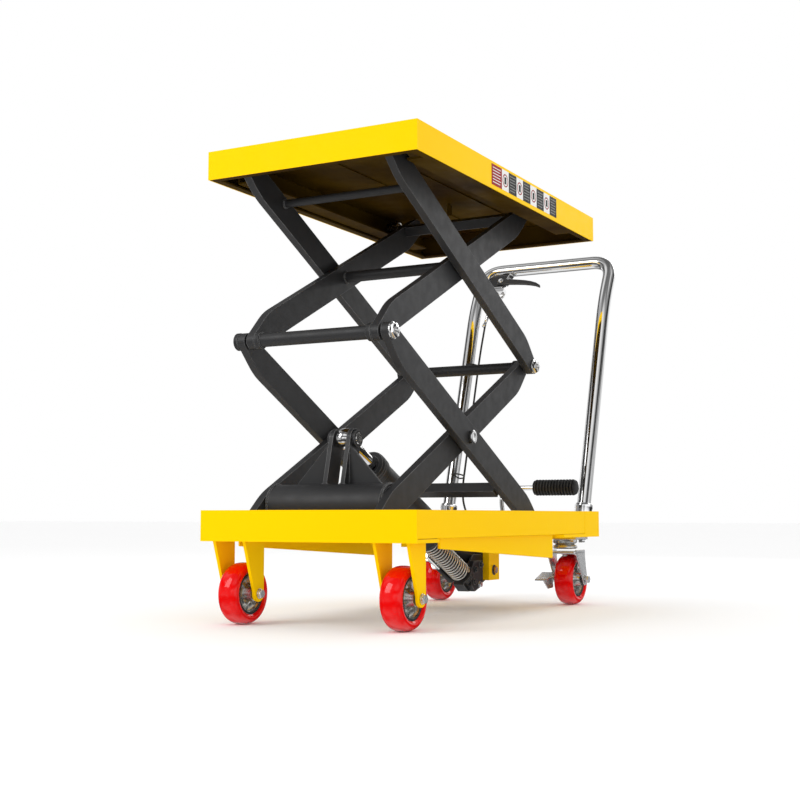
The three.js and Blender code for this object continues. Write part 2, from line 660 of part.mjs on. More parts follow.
function addLowerScissor() {
  const { y, z } = LOWER_CENTRE;
  for (const [name, side] of SIDES) {
    const inner = innerArm(side, 191, [INNER.inside - 9, INNER.outside + 9]);
    const outer = outerArm(side, [OUTER.inside - 1, OUTER.outside + 1], ROLLER.pinEnd, false);
    table.add(piece(`lower_inner_arm_${name}`, inner, BLACK, y, z, REST_ANGLE));
    table.add(piece(`lower_outer_arm_${name}`, outer, BLACK, y, z, -REST_ANGLE));
  }
  table.add(piece('lift_beam', liftBeam(), BLACK));
  table.add(piece('ram_pin', ramPin(), CHROME));
  table.add(piece('rear_middle_axle', middleAxle(13.5), BLACK, y + MIDDLE_REACH, MIDDLE_Z));
  const tie = box(-OUTER.inside + GAP, OUTER.inside - GAP, 193, 223, -36, -12);
  table.add(piece('lower_tie_bar', tie, BLACK, y, z, -REST_ANGLE));
}

function addUpperScissor() {
  const { y, z } = UPPER_CENTRE;
  for (const [name, side] of SIDES) {
    const inner = innerArm(side, 179, [INNER.outside - 1, ROLLER.pinEnd]);
    const outer = outerArm(side, [OUTER.inside - 1, 180], 194, true);
    table.add(piece(`upper_inner_arm_${name}`, inner, BLACK, y, z, REST_ANGLE + Math.PI));
    table.add(piece(`upper_outer_arm_${name}`, outer, BLACK, y, z, Math.PI - REST_ANGLE));
  }
  const reach = INNER.inside - GAP;
  table.add(piece('front_middle_axle', middleAxle(14.5), BLACK, y - MIDDLE_REACH, MIDDLE_Z));
  table.add(piece('upper_centre_tube', barAcross(-reach, reach, 0, 0, 13), BLACK, y, z));
  const brace = barAcross(-OUTER.inside + GAP, OUTER.inside - GAP, 264, -15, 9, 20);
  table.add(piece('upper_cross_tube', brace, BLACK, y, z, Math.PI - REST_ANGLE));
  const tie = box(-reach, reach, -364, -336, -29, -5);
  table.add(piece('upper_tie_bar', tie, BLACK, y, z, REST_ANGLE + Math.PI));
}

function addRollers() {
  for (const [level, height] of [['lower', FIXED_PIVOT.z], ['upper', TOP_PIVOT_Z]]) {
    for (const [name, side] of SIDES) {
      const [x0, x1] = span(side, ROLLER.from, ROLLER.to);
      const wheel = cut(barAcross(x0, x1, 0, 0, ROLLER.radius, 24), barAcross(x0 - 1, x1 + 1, 0, 0, ROLLER.pin + 0.4));
      table.add(piece(`${level}_roller_${name}`, wheel, ZINC, ROLLER_Y, height));
    }
  }
}

function addRam() {
  table.add(piece('ram_barrel', ramBarrel(), BLACK));
  table.add(piece('ram_rod', ramRod(), CHROME));
  table.add(piece('pump_block', pumpBlock(), BLACK));
  table.add(piece('pump_piston', pumpPiston(), CHROME));
  table.add(piece('pump_spring', pumpSpring(), ZINC));
  table.add(piece('pedal_arm', pedalArm(), CHROME));
  table.add(piece('pedal_pad', pedalPad(), RUBBER));
}

function addHandRelease() {
  table.add(piece('lever_bracket', leverBracket(), BLACK));
  table.add(piece('release_lever', handLever(), BLACK));
  table.add(piece('release_cable', releaseCable(), RUBBER));
}

addBase();
addFrontCastors();
addRearCastors();
addLowerScissor();
addUpperScissor();
addRollers();
addRam();
addHandRelease();
table.add(piece('platform', platform(), YELLOW));

export default table;
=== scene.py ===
import json
import math

import bmesh
import bpy
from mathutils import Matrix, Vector


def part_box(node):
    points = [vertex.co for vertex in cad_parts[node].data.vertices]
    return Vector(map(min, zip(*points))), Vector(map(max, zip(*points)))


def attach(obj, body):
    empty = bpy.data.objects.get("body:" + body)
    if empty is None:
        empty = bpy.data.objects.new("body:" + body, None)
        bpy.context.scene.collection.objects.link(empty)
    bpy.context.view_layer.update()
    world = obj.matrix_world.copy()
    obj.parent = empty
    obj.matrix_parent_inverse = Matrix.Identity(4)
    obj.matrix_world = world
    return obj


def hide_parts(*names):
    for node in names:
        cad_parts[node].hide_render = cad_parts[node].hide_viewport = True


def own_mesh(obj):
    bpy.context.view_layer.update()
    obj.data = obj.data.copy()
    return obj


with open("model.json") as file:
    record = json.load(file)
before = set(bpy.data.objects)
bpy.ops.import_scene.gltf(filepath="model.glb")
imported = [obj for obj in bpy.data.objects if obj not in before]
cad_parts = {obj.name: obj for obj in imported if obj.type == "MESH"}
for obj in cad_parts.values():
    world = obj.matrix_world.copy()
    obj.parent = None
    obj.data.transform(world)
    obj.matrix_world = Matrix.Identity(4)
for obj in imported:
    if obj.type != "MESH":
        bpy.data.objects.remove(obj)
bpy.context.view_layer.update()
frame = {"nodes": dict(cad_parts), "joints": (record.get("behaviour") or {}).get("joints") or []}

X, Y, Z = Vector((1, 0, 0)), Vector((0, 1, 0)), Vector((0, 0, 1))
SIDES = (("left", -1), ("right", 1))
JOINTS = {joint["name"]: joint for joint in frame["joints"]}


def pivot(joint):
    """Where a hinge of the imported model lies, in the row frame."""
    return Vector(JOINTS[joint]["pos_m"])


def middle(node):
    low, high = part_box(node)
    return (low + high) / 2


def half_size(node):
    low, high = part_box(node)
    return (high - low) / 2


# ------------------------------------------------------------------ camera
def make_camera():
    data = bpy.data.cameras.new("camera")
    data.lens = 59.0
    data.sensor_width = 36.0
    camera = bpy.data.objects.new("camera", data)
    camera.location = (1.4406, -2.9058, 0.2274)
    camera.rotation_euler = (math.pi / 2 + 0.0884, 0, 0.4984)
    bpy.context.scene.collection.objects.link(camera)
    bpy.context.scene.camera = camera


# ------------------------------------------------------------------ materials
class Shader:
    """A node material built in a few calls. Patterns are in the part's own metres."""

    def __init__(self, name, color, roughness, metallic=0.0):
        self.material = bpy.data.materials.new(name)
        self.material.use_nodes = True
        self.nodes = self.material.node_tree.nodes
        self.bsdf = self.nodes["Principled BSDF"]
        self.bsdf.inputs["Base Color"].default_value = (*color, 1)
        self.bsdf.inputs["Roughness"].default_value = roughness
        self.bsdf.inputs["Metallic"].default_value = metallic
        self.color = color
        self.place = self.nodes.new("ShaderNodeTexCoord").outputs["Object"]
        self.tone = None

    def link(self, source, target):
        self.material.node_tree.links.new(source, target)

    def noise(self, scale, detail=3.0, stretch=None):
        node = self.nodes.new("ShaderNodeTexNoise")
        node.inputs["Scale"].default_value = scale
        node.inputs["Detail"].default_value = detail
        place = self.place
        if stretch:
            mapping = self.nodes.new("ShaderNodeMapping")
            mapping.inputs["Scale"].default_value = stretch
            self.link(place, mapping.inputs["Vector"])
            place = mapping.outputs["Vector"]
        self.link(place, node.inputs["Vector"])
        return node.outputs["Fac"]

    def remap(self, source, low, high, to_low, to_high):
        node = self.nodes.new("ShaderNodeMapRange")
        for name, value in zip(("From Min", "From Max", "To Min", "To Max"), (low, high, to_low, to_high)):
            node.inputs[name].default_value = value
        self.link(source, node.inputs["Value"])
        return node.outputs["Result"]

    def tint(self, mask, color):
        """Lays a second colour over the first where the mask is high."""
        mix = self.nodes.new("ShaderNodeMix")
        mix.data_type = "RGBA"
        under, over = [s for s in mix.inputs if s.type == "RGBA"]
        result = next(s for s in mix.outputs if s.type == "RGBA")
        if self.tone:
            self.link(self.tone, under)
        else:
            under.default_value = (*self.color, 1)
        over.default_value = (*color, 1)
        self.link(mask, mix.inputs["Factor"])
        self.tone = result
        self.link(result, self.bsdf.inputs["Base Color"])
        return self

    def mottle(self, scale, detail, low, high, share, color):
        """Lays up to a share of a second colour over the first in patches of a noise."""
        return self.tint(self.remap(self.noise(scale, detail), low, high, 0.0, share), color)

    def rough(self, mask, low, high):
        self.link(self.remap(mask, 0.35, 0.65, low, high), self.bsdf.inputs["Roughness"])
        return self

    def bump(self, *layers):
        """Each layer is (height mask, strength, distance in metres)."""
        normal = None
        for height, strength, distance in layers:
            node = self.nodes.new("ShaderNodeBump")
            node.inputs["Strength"].default_value = strength
            node.inputs["Distance"].default_value = distance
            self.link(height, node.inputs["Height"])
            if normal:
                self.link(normal, node.inputs["Normal"])
            normal = node.outputs["Normal"]
        self.link(normal, self.bsdf.inputs["Normal"])
        return self

    def edges(self, radius):
        """High along sharp edges, where a finish wears first; the paints lighten it there as wear and as a
        painted edge highlight.
        """
        bevel = self.nodes.new("ShaderNodeBevel")
        bevel.inputs["Radius"].default_value = radius
        face = self.nodes.new("ShaderNodeNewGeometry").outputs["Normal"]
        dot = self.nodes.new("ShaderNodeVectorMath")
        dot.operation = "DOT_PRODUCT"
        self.link(bevel.outputs["Normal"], dot.inputs[0])
        self.link(face, dot.inputs[1])
        return self.remap(dot.outputs["Value"], 0.99, 0.82, 0.0, 1.0)

    def within(self, low, high):
        """High inside a box in the part's own metres."""
        centre, half = (low + high) / 2, (high - low) / 2
        away = self.nodes.new("ShaderNodeVectorMath")
        away.operation = "SUBTRACT"
        self.link(self.place, away.inputs[0])
        away.inputs[1].default_value = centre
        size = self.nodes.new("ShaderNodeVectorMath")
        size.operation = "ABSOLUTE"
        self.link(away.outputs[0], size.inputs[0])
        split = self.nodes.new("ShaderNodeSeparateXYZ")
        self.link(size.outputs[0], split.inputs[0])
        mask = None
        for axis, reach in zip("XYZ", half):
            inside = self.remap(split.outputs[axis], reach - 0.0006, reach, 1.0, 0.0)
            mask = self.times(mask, inside) if mask else inside
        return mask

    def times(self, a, b):
        node = self.nodes.new("ShaderNodeMath")
        node.operation = "MULTIPLY"
        self.link(a, node.inputs[0])
        self.link(b, node.inputs[1])
        return node.outputs[0]

    def coat(self, weight, roughness):
        self.bsdf.inputs["Coat Weight"].default_value = weight
        self.bsdf.inputs["Coat Roughness"].default_value = roughness
        return self


def yellow_paint(name, shade=None):
    s = Shader(name, (1.0, 0.61, 0.0004), 0.34)
    s.mottle(2.0, 3, 0.35, 0.7, 0.35, (0.97, 0.565, 0.0003))
    # Lighter yellow along the edges: a painted edge highlight, with some wear.
    s.tint(s.times(s.edges(0.0014), s.remap(s.noise(60, 4), 0.45, 0.75, 0.1, 0.5)), (1.0, 0.74, 0.03))
    s.rough(s.noise(30, 4), 0.3, 0.4)
    s.bsdf.inputs["IOR"].default_value = 1.12
    s.bsdf.inputs["Specular IOR Level"].default_value = 0.25
    # Painted shade: where the mask is high the yellow is darkened to a dark brown, with slight noise.
    if shade:
        mask = shade(s)
        s.tint(s.times(mask, s.remap(s.noise(5, 3), 0.3, 0.7, 0.95, 1.0)), (0.03, 0.014, 0.003))
    s.bump((s.noise(420, 2), 0.08, 0.0006), (s.noise(1500, 2), 0.05, 0.0003))
    return s.material


def black_paint(name, color=(0.026, 0.026, 0.027)):
    s = Shader(name, color, 0.44)
    s.mottle(4, 2, 0.35, 0.7, 0.3, tuple(0.8 * c for c in color))
    # Light grey along the edges: a painted edge highlight, with some wear.
    s.tint(s.times(s.edges(0.002), s.remap(s.noise(45, 4), 0.35, 0.7, 0.5, 1.0)), (0.3, 0.3, 0.3))
    s.mottle(260, 2, 0.66, 0.78, 0.15, (0.08, 0.08, 0.08))
    s.rough(s.noise(38, 5), 0.42, 0.52)
    s.bump((s.noise(600, 2), 0.12, 0.0005), (s.noise(2200, 2), 0.08, 0.0003))
    s.bsdf.inputs["Specular IOR Level"].default_value = 0.35
    return s.coat(0.03, 0.25).material


def chrome(name):
    s = Shader(name, (0.86, 0.86, 0.855), 0.07, 1.0)
    s.mottle(14, 4, 0.45, 0.75, 0.3, (0.7, 0.69, 0.66))
    s.rough(s.noise(60, 5), 0.05, 0.12)
    s.bump((s.noise(180, 3), 0.03, 0.0004))
    return s.material


def zinc(name, color=(0.78, 0.79, 0.8)):
    s = Shader(name, color, 0.3, 0.95)
    s.mottle(26, 5, 0.4, 0.7, 0.35, tuple(0.78 * c for c in color))
    s.mottle(9, 3, 0.5, 0.75, 0.2, (0.7, 0.67, 0.58))
    s.rough(s.noise(70, 5), 0.15, 0.3)
    s.bump((s.noise(300, 3), 0.08, 0.0004), (s.noise(900, 2, (1, 1, 0.08)), 0.06, 0.0003))
    return s.material


def red_tyre(name):
    s = Shader(name, (0.8, 0.0008, 0.001), 0.16)
    s.mottle(14, 3, 0.4, 0.7, 0.4, (0.58, 0.0005, 0.0008))
    s.mottle(120, 3, 0.66, 0.8, 0.15, (0.25, 0.004, 0.004))
    s.rough(s.noise(55, 5), 0.1, 0.18)
    s.bump((s.noise(260, 3), 0.05, 0.0005))
    s.bsdf.inputs["Specular IOR Level"].default_value = 0.25
    return s.coat(0.35, 0.04).material


def rubber(name):
    s = Shader(name, (0.013, 0.013, 0.013), 0.62)
    s.mottle(40, 4, 0.45, 0.75, 0.5, (0.035, 0.034, 0.032))
    s.rough(s.noise(120, 4), 0.5, 0.72)
    s.bump((s.noise(900, 3), 0.25, 0.0004))
    return s.material


def label_paint(name, color):
    s = Shader(name, color, 0.38)
    s.mottle(60, 4, 0.45, 0.75, 0.3, tuple(0.8 * c for c in color))
    s.rough(s.noise(90, 3), 0.3, 0.45)
    s.bump((s.noise(700, 2), 0.05, 0.0002))
    s.bsdf.inputs["IOR"].default_value = 1.15
    return s.material


def under_platform(shader):
    """High on the inside of the platform's folded sheet, where the yellow is darkened to a painted shade."""
    low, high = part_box("platform")
    skin = Vector((0.0022, 0.0022, 0.0022))
    return shader.within(low + skin - Z * 0.01, high - skin)


YELLOW = yellow_paint("yellow_coat")
# The same yellow with a painted shade inside the platform's folded sheet.
YELLOW_SHADED = yellow_paint("yellow_coat_painted_shade_under", under_platform)
BLACK = black_paint("black_coat")
CAST_BLACK = black_paint("cast_black", (0.018, 0.018, 0.019))
CHROME = chrome("chrome_plate")
ZINC = zinc("zinc_plate")
STEEL = zinc("turned_steel", (0.66, 0.65, 0.62))
SPRING = zinc("spring_wire", (0.82, 0.79, 0.72))
COPPER = zinc("passivated_bolt", (0.62, 0.42, 0.33))
RED = red_tyre("red_urethane")
RUBBER = rubber("black_rubber")


# ------------------------------------------------------------------ building pieces
SHARP = math.radians(38)


class Piece:
    """One visible piece, built from closed shells in the row frame."""

    def __init__(self, name, body, slot, material):
        self.name, self.body, self.slot = name, body, slot
        self.mesh = bmesh.new()
        self.materials = [material]
        self.index = 0

    def paint(self, material):
        if material not in self.materials:
            self.materials.append(material)
        self.index = self.materials.index(material)
        return self

    def face(self, points):
        face = self.mesh.faces.new(points)
        face.material_index = self.index
        face.smooth = True

    def skin(self, rings, closed=False):
        """A shell over a row of rings; a ring of one point is a pole. Open rows are capped."""
        rows = [[self.mesh.verts.new(point) for point in ring] for ring in rings]
        pairs = list(zip(rows, rows[1:]))
        if closed:
            pairs.append((rows[-1], rows[0]))
        for a, b in pairs:
            count = max(len(a), len(b))
            for i in range(count):
                j = (i + 1) % count
                quad = [a[i % len(a)], a[j % len(a)], b[j % len(b)], b[i % len(b)]]
                self.face(list(dict.fromkeys(quad)))
        if not closed:
            for row in (rows[0], rows[-1]):
                if len(row) > 1:
                    self.face(row)
        return self

    def turned(self, profile, origin, axis=X, sides=48, closed=False):
        """A turned shape. Each profile point is (distance along the axis, radius)."""
        along = Vector(axis).normalized()
        side = along.orthogonal().normalized()
        if abs(along.z) < 0.99:
            side = along.cross(Z).normalized()
        up = along.cross(side)
        rings = []
        for distance, radius in profile:
            hub = Vector(origin) + along * distance
            if radius < 1e-6:
                rings.append([hub])
                continue
            rings.append(ring(hub, side, up, radius, sides))
        return self.skin(rings, closed)

    def tube(self, path, radius, sides=16):
        """A round bar along a path. The radius is a number or a function of the share run."""
        points = [Vector(p) for p in path]
        size = radius if callable(radius) else (lambda share: radius)
        rings = []
        side = (points[1] - points[0]).orthogonal().normalized()
        for i, point in enumerate(points):
            ahead = points[min(i + 1, len(points) - 1)] - points[max(i - 1, 0)]
            ahead.normalize()
            side = (side - ahead * side.dot(ahead)).normalized()
            up = ahead.cross(side)
            rings.append(ring(point, side, up, size(i / (len(points) - 1)), sides))
        return self.skin(rings)

    def plate(self, outline, origin, u, v, thickness):
        """A flat outline in the directions u and v, given a thickness square to both."""
        through = Vector(u).cross(Vector(v)).normalized() * thickness
        flat = [Vector(origin) + Vector(u) * a + Vector(v) * b for a, b in outline]
        return self.skin([flat, [p + through for p in flat]])

    def block(self, low, high):
        (x0, y0, z0), (x1, y1, z1) = low, high
        return self.plate([(0, 0), (x1 - x0, 0), (x1 - x0, y1 - y0), (0, y1 - y0)], low, X, Y, z1 - z0)

    def nut(self, origin, axis, across, height, turn=0.0):
        """A hexagon head or nut with its corners chamfered at the outer end."""
        along = Vector(axis).normalized()
        side = along.cross(Z).normalized() if abs(along.z) < 0.99 else X
        up = along.cross(side)
        rings = []
        for distance, share in ((0, 0.97), (height * 0.08, 1.0), (height * 0.82, 1.0), (height, 0.88)):
            corners = []
            for i in range(6):
                angle = turn + math.pi * i / 3
                reach = across / math.sqrt(3) * share
                out = side * math.cos(angle) + up * math.sin(angle)
                corners.append(Vector(origin) + along * distance + out * reach)
            rings.append(corners)
        return self.skin(rings)

    def bolt(self, origin, axis, size, washer=True, tip=True):
        """Washer, hexagon nut and the rounded end of the thread; size is the thread diameter."""
        start = Vector(origin)
        along = Vector(axis).normalized()
        if washer:
            r, t = size * 1.1, size * 0.18
            rim = [(0, r * 0.97), (t * 0.3, r), (t * 0.8, r), (t, r * 0.96)]
            self.turned([(0, 0), *rim, (t, 0)], start, along, 28)
            start = start + along * t
        self.nut(start, along, size * 1.65, size * 0.72)
        if tip:
            profile = [(0, 0), (0, size * 0.45)]
            for i in range(4):
                base = size * (0.72 + 0.1 * i)
                profile += [(base, size * 0.5), (base + size * 0.05, size * 0.44)]
            profile += [(size * 1.16, size * 0.38), (size * 1.18, 0)]
            self.turned(profile, start, along, 20)
        return self

    def weld(self, path, radius=0.0028):
        """A rippled weld bead along a path."""
        points = spaced([Vector(p) for p in path], radius * 0.8)

        def lumps(share):
            return radius * (0.85 + 0.18 * math.sin(share * len(points) * 1.3))

        return self.tube(points, lumps, 8)

    def done(self, *nodes, bevel=0.0, segments=2):
        """Makes the object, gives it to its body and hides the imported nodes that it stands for."""
        bmesh.ops.remove_doubles(self.mesh, verts=self.mesh.verts, dist=1e-7)
        bmesh.ops.recalc_face_normals(self.mesh, faces=self.mesh.faces)
        data = bpy.data.meshes.new(self.name)
        self.mesh.to_mesh(data)
        self.mesh.free()
        for material in self.materials:
            data.materials.append(material)
        thing = bpy.data.objects.new(self.name, data)
        bpy.context.scene.collection.objects.link(thing)
        if bevel:
            soften(thing, bevel, segments)
        else:
            data.set_sharp_from_angle(angle=SHARP)
        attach(thing, self.body)
        if nodes:
            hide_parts(*nodes)
        return thing


def ring(centre, side, up, radius, count):
    turns = [2 * math.pi * i / count for i in range(count)]
    return [centre + (side * math.cos(t) + up * math.sin(t)) * radius for t in turns]


def soften(thing, width, segments=2):
    """Rounds the sharp edges and keeps the flats flat."""
    bevel = thing.modifiers.new("rounded_edges", "BEVEL")
    bevel.width = width
    bevel.segments = segments
    bevel.limit_method = "ANGLE"
    bevel.angle_limit = SHARP
    bevel.use_clamp_overlap = True
    shading = thing.modifiers.new("even_shading", "WEIGHTED_NORMAL")
    shading.keep_sharp = False
    for polygon in thing.data.polygons:
        polygon.use_smooth = True


def spaced(points, step):
    """The same path with points at about the given distance."""
    result = []
    for a, b in zip(points, points[1:]):
        count = max(1, round((b - a).length / step))
        result += [a.lerp(b, i / count) for i in range(count)]
    return result + [points[-1]]


def bent(points, reach, steps=10):
    """A path of straight runs with its corners rounded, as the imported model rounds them."""
    knots = [Vector(p) for p in points]
    path = [knots[0]]
    for before, corner, after in zip(knots, knots[1:], knots[2:]):
        into, out = corner - before, after - corner
        span = min(reach, into.length * 0.45, out.length * 0.45)
        a, b = corner - into.normalized() * span, corner + out.normalized() * span
        for i in range(steps + 1):
            t = i / steps
            path.append(a * (1 - t) ** 2 + corner * 2 * t * (1 - t) + b * t * t)
    return path + [knots[-1]]


def circle(centre, axis, radius, count=40):
    """A closed ring of points round an axis, the last on the first."""
    along = Vector(axis).normalized()
    side = along.orthogonal().normalized()
    up = along.cross(side)
    points = ring(Vector(centre), side, up, radius, count)
    return points + points[:1]


def arc(y, z, radius, start, stop, count=14):
    """Points of an outline along part of a circle."""
    turns = [start + (stop - start) * i / count for i in range(count + 1)]
    return [(y + radius * math.cos(t), z + radius * math.sin(t)) for t in turns]


def mirrored(profile):
    """A profile followed by its mirror image."""
    return profile + [(-x, r) for x, r in reversed(profile)]


def rounded_bar(half, radius, lip=0.001):
    """Profile of a plain round bar with its ends broken."""
    return mirrored([(-half, 0), (-half, radius - lip), (lip - half, radius)])


# ------------------------------------------------------------------ carried-over CAD nodes
def finish_nodes(material, width, *names):
    """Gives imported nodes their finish, and rounds their edges with modifiers."""
    for name in names:
        node = frame["nodes"][name]
        node.data.materials.clear()
        node.data.materials.append(material)
        custom = node.data.attributes.get("custom_normal")
        if custom:
            node.data.attributes.remove(custom)
        weld = node.modifiers.new("joined", "WELD")
        weld.merge_threshold = 2e-6
        flat = node.modifiers.new("flats", "DECIMATE")
        flat.decimate_type = "DISSOLVE"
        flat.angle_limit = math.radians(0.6)
        soften(node, width)


def both(*names):
    return [f"{name}_{side}" for name in names for side, _ in SIDES]


# ------------------------------------------------------------------ castors
HUB_BORE = 0.0085
RIB_ANGLES = [math.pi * i / 3 + 0.3 for i in range(6)]
FORK_TOP = 0.1445
FORK_SHEET = 0.004


def wheel(end, name):
    """Red tyre on a turned core."""
    low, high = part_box(f"{end}_tyre_{name}")
    hub = (low + high) / 2
    half, _, radius = (high - low) / 2
    seat = radius * 0.68
    body = f"{end}_wheel_{name}"
    tyre = Piece(f"tyre_{end}_{name}", body, "red_tyre", RED)
    tyre.turned(tyre_profile(half, radius, seat), hub, sides=96, closed=True).done(f"{end}_tyre_{name}")
    core = Piece(f"hub_{end}_{name}", body, "wheel_core", STEEL)
    wheel_core(core, hub, radius, seat)
    core.done(f"{end}_wheel_core_{name}")


def tyre_profile(half, radius, seat):
    """From the left bead over the crown to the right bead."""
    shoulder = radius * 0.765
    bead = [(-half * 0.84, seat), (-half * 0.95, seat + 0.0035)]
    crown = []
    steps = 24
    for i in range(steps + 1):
        angle = math.pi * (1 - i / steps)
        across = math.copysign(abs(math.cos(angle)) ** 0.85, math.cos(angle))
        crown.append((half * across, shoulder + (radius - shoulder) * math.sin(angle) ** 0.8))
    return bead + crown + [(-x, r) for x, r in reversed(bead)]


def wheel_core(core, hub, radius, seat):
    """Black band under the tyre, turned web and boss, six ribs a side, and a seal at each bore."""
    rim, dish, boss = radius * 0.6, radius * 0.34, radius * 0.27
    band = [(-0.0205, seat - 0.0004), (-0.0213, seat - 0.002), (-0.0208, rim), (-0.017, rim - 0.0008)]
    core.paint(CAST_BLACK).turned(mirrored(band), hub, sides=72, closed=True)
    web = [(0.0305, HUB_BORE), (0.0305, boss * 0.8), (0.0293, boss * 0.9), (0.02, boss), (0.0125, dish),
           (0.0105, dish * 1.25), (0.0125, rim * 0.9), (0.0165, rim * 0.965), (0.0185, rim - 0.0006)]
    core.paint(STEEL).turned(mirrored(web), hub, sides=72, closed=True)
    for way in (-1, 1):
        for angle in RIB_ANGLES:
            wheel_rib(core, hub, way, angle, boss * 0.92, rim * 0.93)
    core.paint(CAST_BLACK)
    seal = [(0, HUB_BORE + 0.0005), (0.0006, HUB_BORE + 0.0005), (0.0006, boss * 0.72), (0, boss * 0.74)]
    for way in (-1, 1):
        core.turned(seal, hub + X * way * 0.0304, X * way, 40, closed=True)


def wheel_rib(core, hub, way, angle, near, far):
    """A rib on one face of the web, high at the boss and low at the rim."""
    width, web = 0.0044, 0.0085
    out = Y * math.cos(angle) + Z * math.sin(angle)
    across = X.cross(out) * (width / 2 if way > 0 else -width * 1.5)
    run = far - near
    rib = [(0, 0), (run, 0), (run, 0.0065), (run * 0.3, 0.0085), (0, 0.013)]
    core.plate(rib, hub + X * way * web + out * near + across, out, X * way, width)


def axle(name, end, body, reach, size, head):
    """A bolt through a castor: lock nut at the left end, washer, head and dome at the right."""
    node = f"{end}_axle_{name}"
    hub = middle(node)
    piece = Piece(f"axle_bolt_{end}_{name}", body, "zinc", ZINC)
    piece.turned(rounded_bar(reach, size / 2), hub, sides=32)
    piece.nut(hub - X * reach, -X, size * 1.35, 0.0065)
    face = hub + X * reach
    piece.bolt(face, X, head, tip=False)
    rim = size * 0.6
    dome = [(0, 0), (0, size * 0.55), (0.001, rim), (0.0045, rim), (0.0062, size * 0.5), (0.0072, 0)]
    piece.turned(dome, face, X, 32)
    piece.done(node)


def swivel_fork(name):
    """Pressed fork: two cheeks that sweep back to the axle, under a crown plate."""
    centre = pivot(f"swivel_{name}")
    hub = middle(f"rear_axle_{name}")
    half = half_size(f"swivel_fork_{name}").x
    fork = Piece(f"castor_fork_{name}", f"swivel_{name}", "zinc", ZINC)
    cheek = [(-0.03, FORK_TOP - 0.003)]
    cheek += arc(hub.y - centre.y, hub.z, 0.015, math.pi * 1.08, math.pi * 1.96, 20)
    cheek += [(0.036, FORK_TOP - 0.02), (0.036, FORK_TOP - 0.003)]
    for left in (centre.x - half, centre.x + half - FORK_SHEET):
        fork.plate(cheek, Vector((left, centre.y, 0)), Y, Z, FORK_SHEET)
    edge = [(-0.033, 0.004 - half), (-0.026, -half), (0.032, -half), (0.038, 0.006 - half)]
    crown = edge + [(along, -across) for along, across in reversed(edge)]
    fork.plate(crown, Vector((centre.x, centre.y, FORK_TOP - 0.0065)), Y, -X, -0.0065)
    fork.done(f"swivel_fork_{name}", bevel=0.0016, segments=3)


def ball_race(name):
    """Two pressed cups with the balls between them, and the kingpin with its nut below."""
    centre = pivot(f"swivel_{name}")
    spot = Vector((centre.x, centre.y, 0))
    race = Piece(f"ball_race_{name}", f"swivel_{name}", "zinc", STEEL)
    race.turned([(0.144, 0), (0.144, 0.027), (0.1452, 0.031), (0.149, 0.0318), (0.153, 0.03),
                 (0.1545, 0.0262), (0.156, 0.024), (0.1575, 0.0262), (0.1592, 0.03), (0.164, 0.0312),
                 (0.1668, 0.029), (0.1675, 0.02), (0.1675, 0)], spot, Z, 56)
    race.turned([(0.125, 0), (0.125, 0.006), (0.1262, 0.0068), (0.1385, 0.0068), (0.1385, 0)], spot, Z, 24)
    race.nut(spot + Z * 0.1375, -Z, 0.019, 0.008)
    race.done()


def plate_bolts(name):
    """Four bolts through the castor's top plate and the pad above it."""
    plate_low, plate_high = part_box(f"swivel_plate_{name}")
    centre = pivot(f"swivel_{name}")
    pad_top = plate_high.z + 0.0087
    bolts = Piece(f"castor_plate_bolts_{name}", "base", "zinc", ZINC)
    for dx in (-0.034, 0.034):
        for dy in (-0.031, 0.031):
            bolts.bolt((centre.x + dx, centre.y + dy, pad_top), Z, 0.01)
            bolts.bolt((centre.x + dx, centre.y + dy, plate_low.z), -Z, 0.009, tip=False)
    bolts.done()


def castors():
    for name, _ in SIDES:
        wheel("front", name)
        wheel("rear", name)
        axle(name, "front", "base", reach=0.0418, size=0.016, head=0.00992)
        axle(name, "rear", f"swivel_{name}", reach=0.0414, size=0.012, head=0.0102)
        swivel_fork(name)
        ball_race(name)
        plate_bolts(name)
    finish_nodes(YELLOW, 0.0012, *both("front_fork"))
    finish_nodes(ZINC, 0.0007, *both("swivel_plate", "foot_brake"))


# ------------------------------------------------------------------ handle and hand release
HANDLE_RADIUS = 0.018


def handle_points():
    """Foot, knee and top of the left post, then top, knee and foot of the right one."""
    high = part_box("push_handle")[1]
    x = high.x - HANDLE_RADIUS
    foot, knee, top = (0.3765, 0.195), (0.5745, 0.826), (high.y - HANDLE_RADIUS, high.z - HANDLE_RADIUS)
    left = [Vector((-x, *foot)), Vector((-x, *knee)), Vector((-x, *top))]
    return left + [Vector((-p.x, p.y, p.z)) for p in reversed(left)]


def on_post(foot, height):
    """The point of a post's centre line at a height."""
    points = handle_points()
    post = (points[1] - points[0]).normalized()
    return foot + post * ((height - foot.z) / post.z)


def handle():
    points = handle_points()
    tube = Piece("handle_tube", "base", "chrome", CHROME)
    tube.tube(bent(points, 0.062, 22), HANDLE_RADIUS, 48).done("push_handle")
    post = (points[1] - points[0]).normalized()
    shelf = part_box("base_rear_beam")[1].z - 0.052
    for name, foot in (("left", points[0]), ("right", points[-1])):
        socket = Piece(f"handle_socket_collar_{name}", "base", "chrome", CHROME)
        inner, outer = HANDLE_RADIUS + 0.0012, 0.0225
        start = on_post(foot, 0.197)
        length = (on_post(foot, 0.258) - start).length
        socket.turned([(0, inner), (0, outer), (length - 0.012, outer), (length - 0.01, outer + 0.0012),
                       (length - 0.002, outer + 0.0012), (length, outer - 0.0005), (length, inner)],
                      start, post, 48, closed=True)
        socket.done(f"handle_socket_{name}")
        bolts = Piece(f"handle_foot_bolts_{name}", "base", "zinc", ZINC)
        for dy in (-0.02, 0.028):
            bolts.bolt((foot.x, on_post(foot, shelf).y + dy, shelf), Z, 0.006, tip=False)
        bolts.done()


def handle_plane():
    """A point between the two knees, with the direction up the posts and the one out of their plane."""
    points = handle_points()
    up = (points[2] - points[1]).normalized()
    return (points[1] + points[4]) / 2, up, X.cross(up)


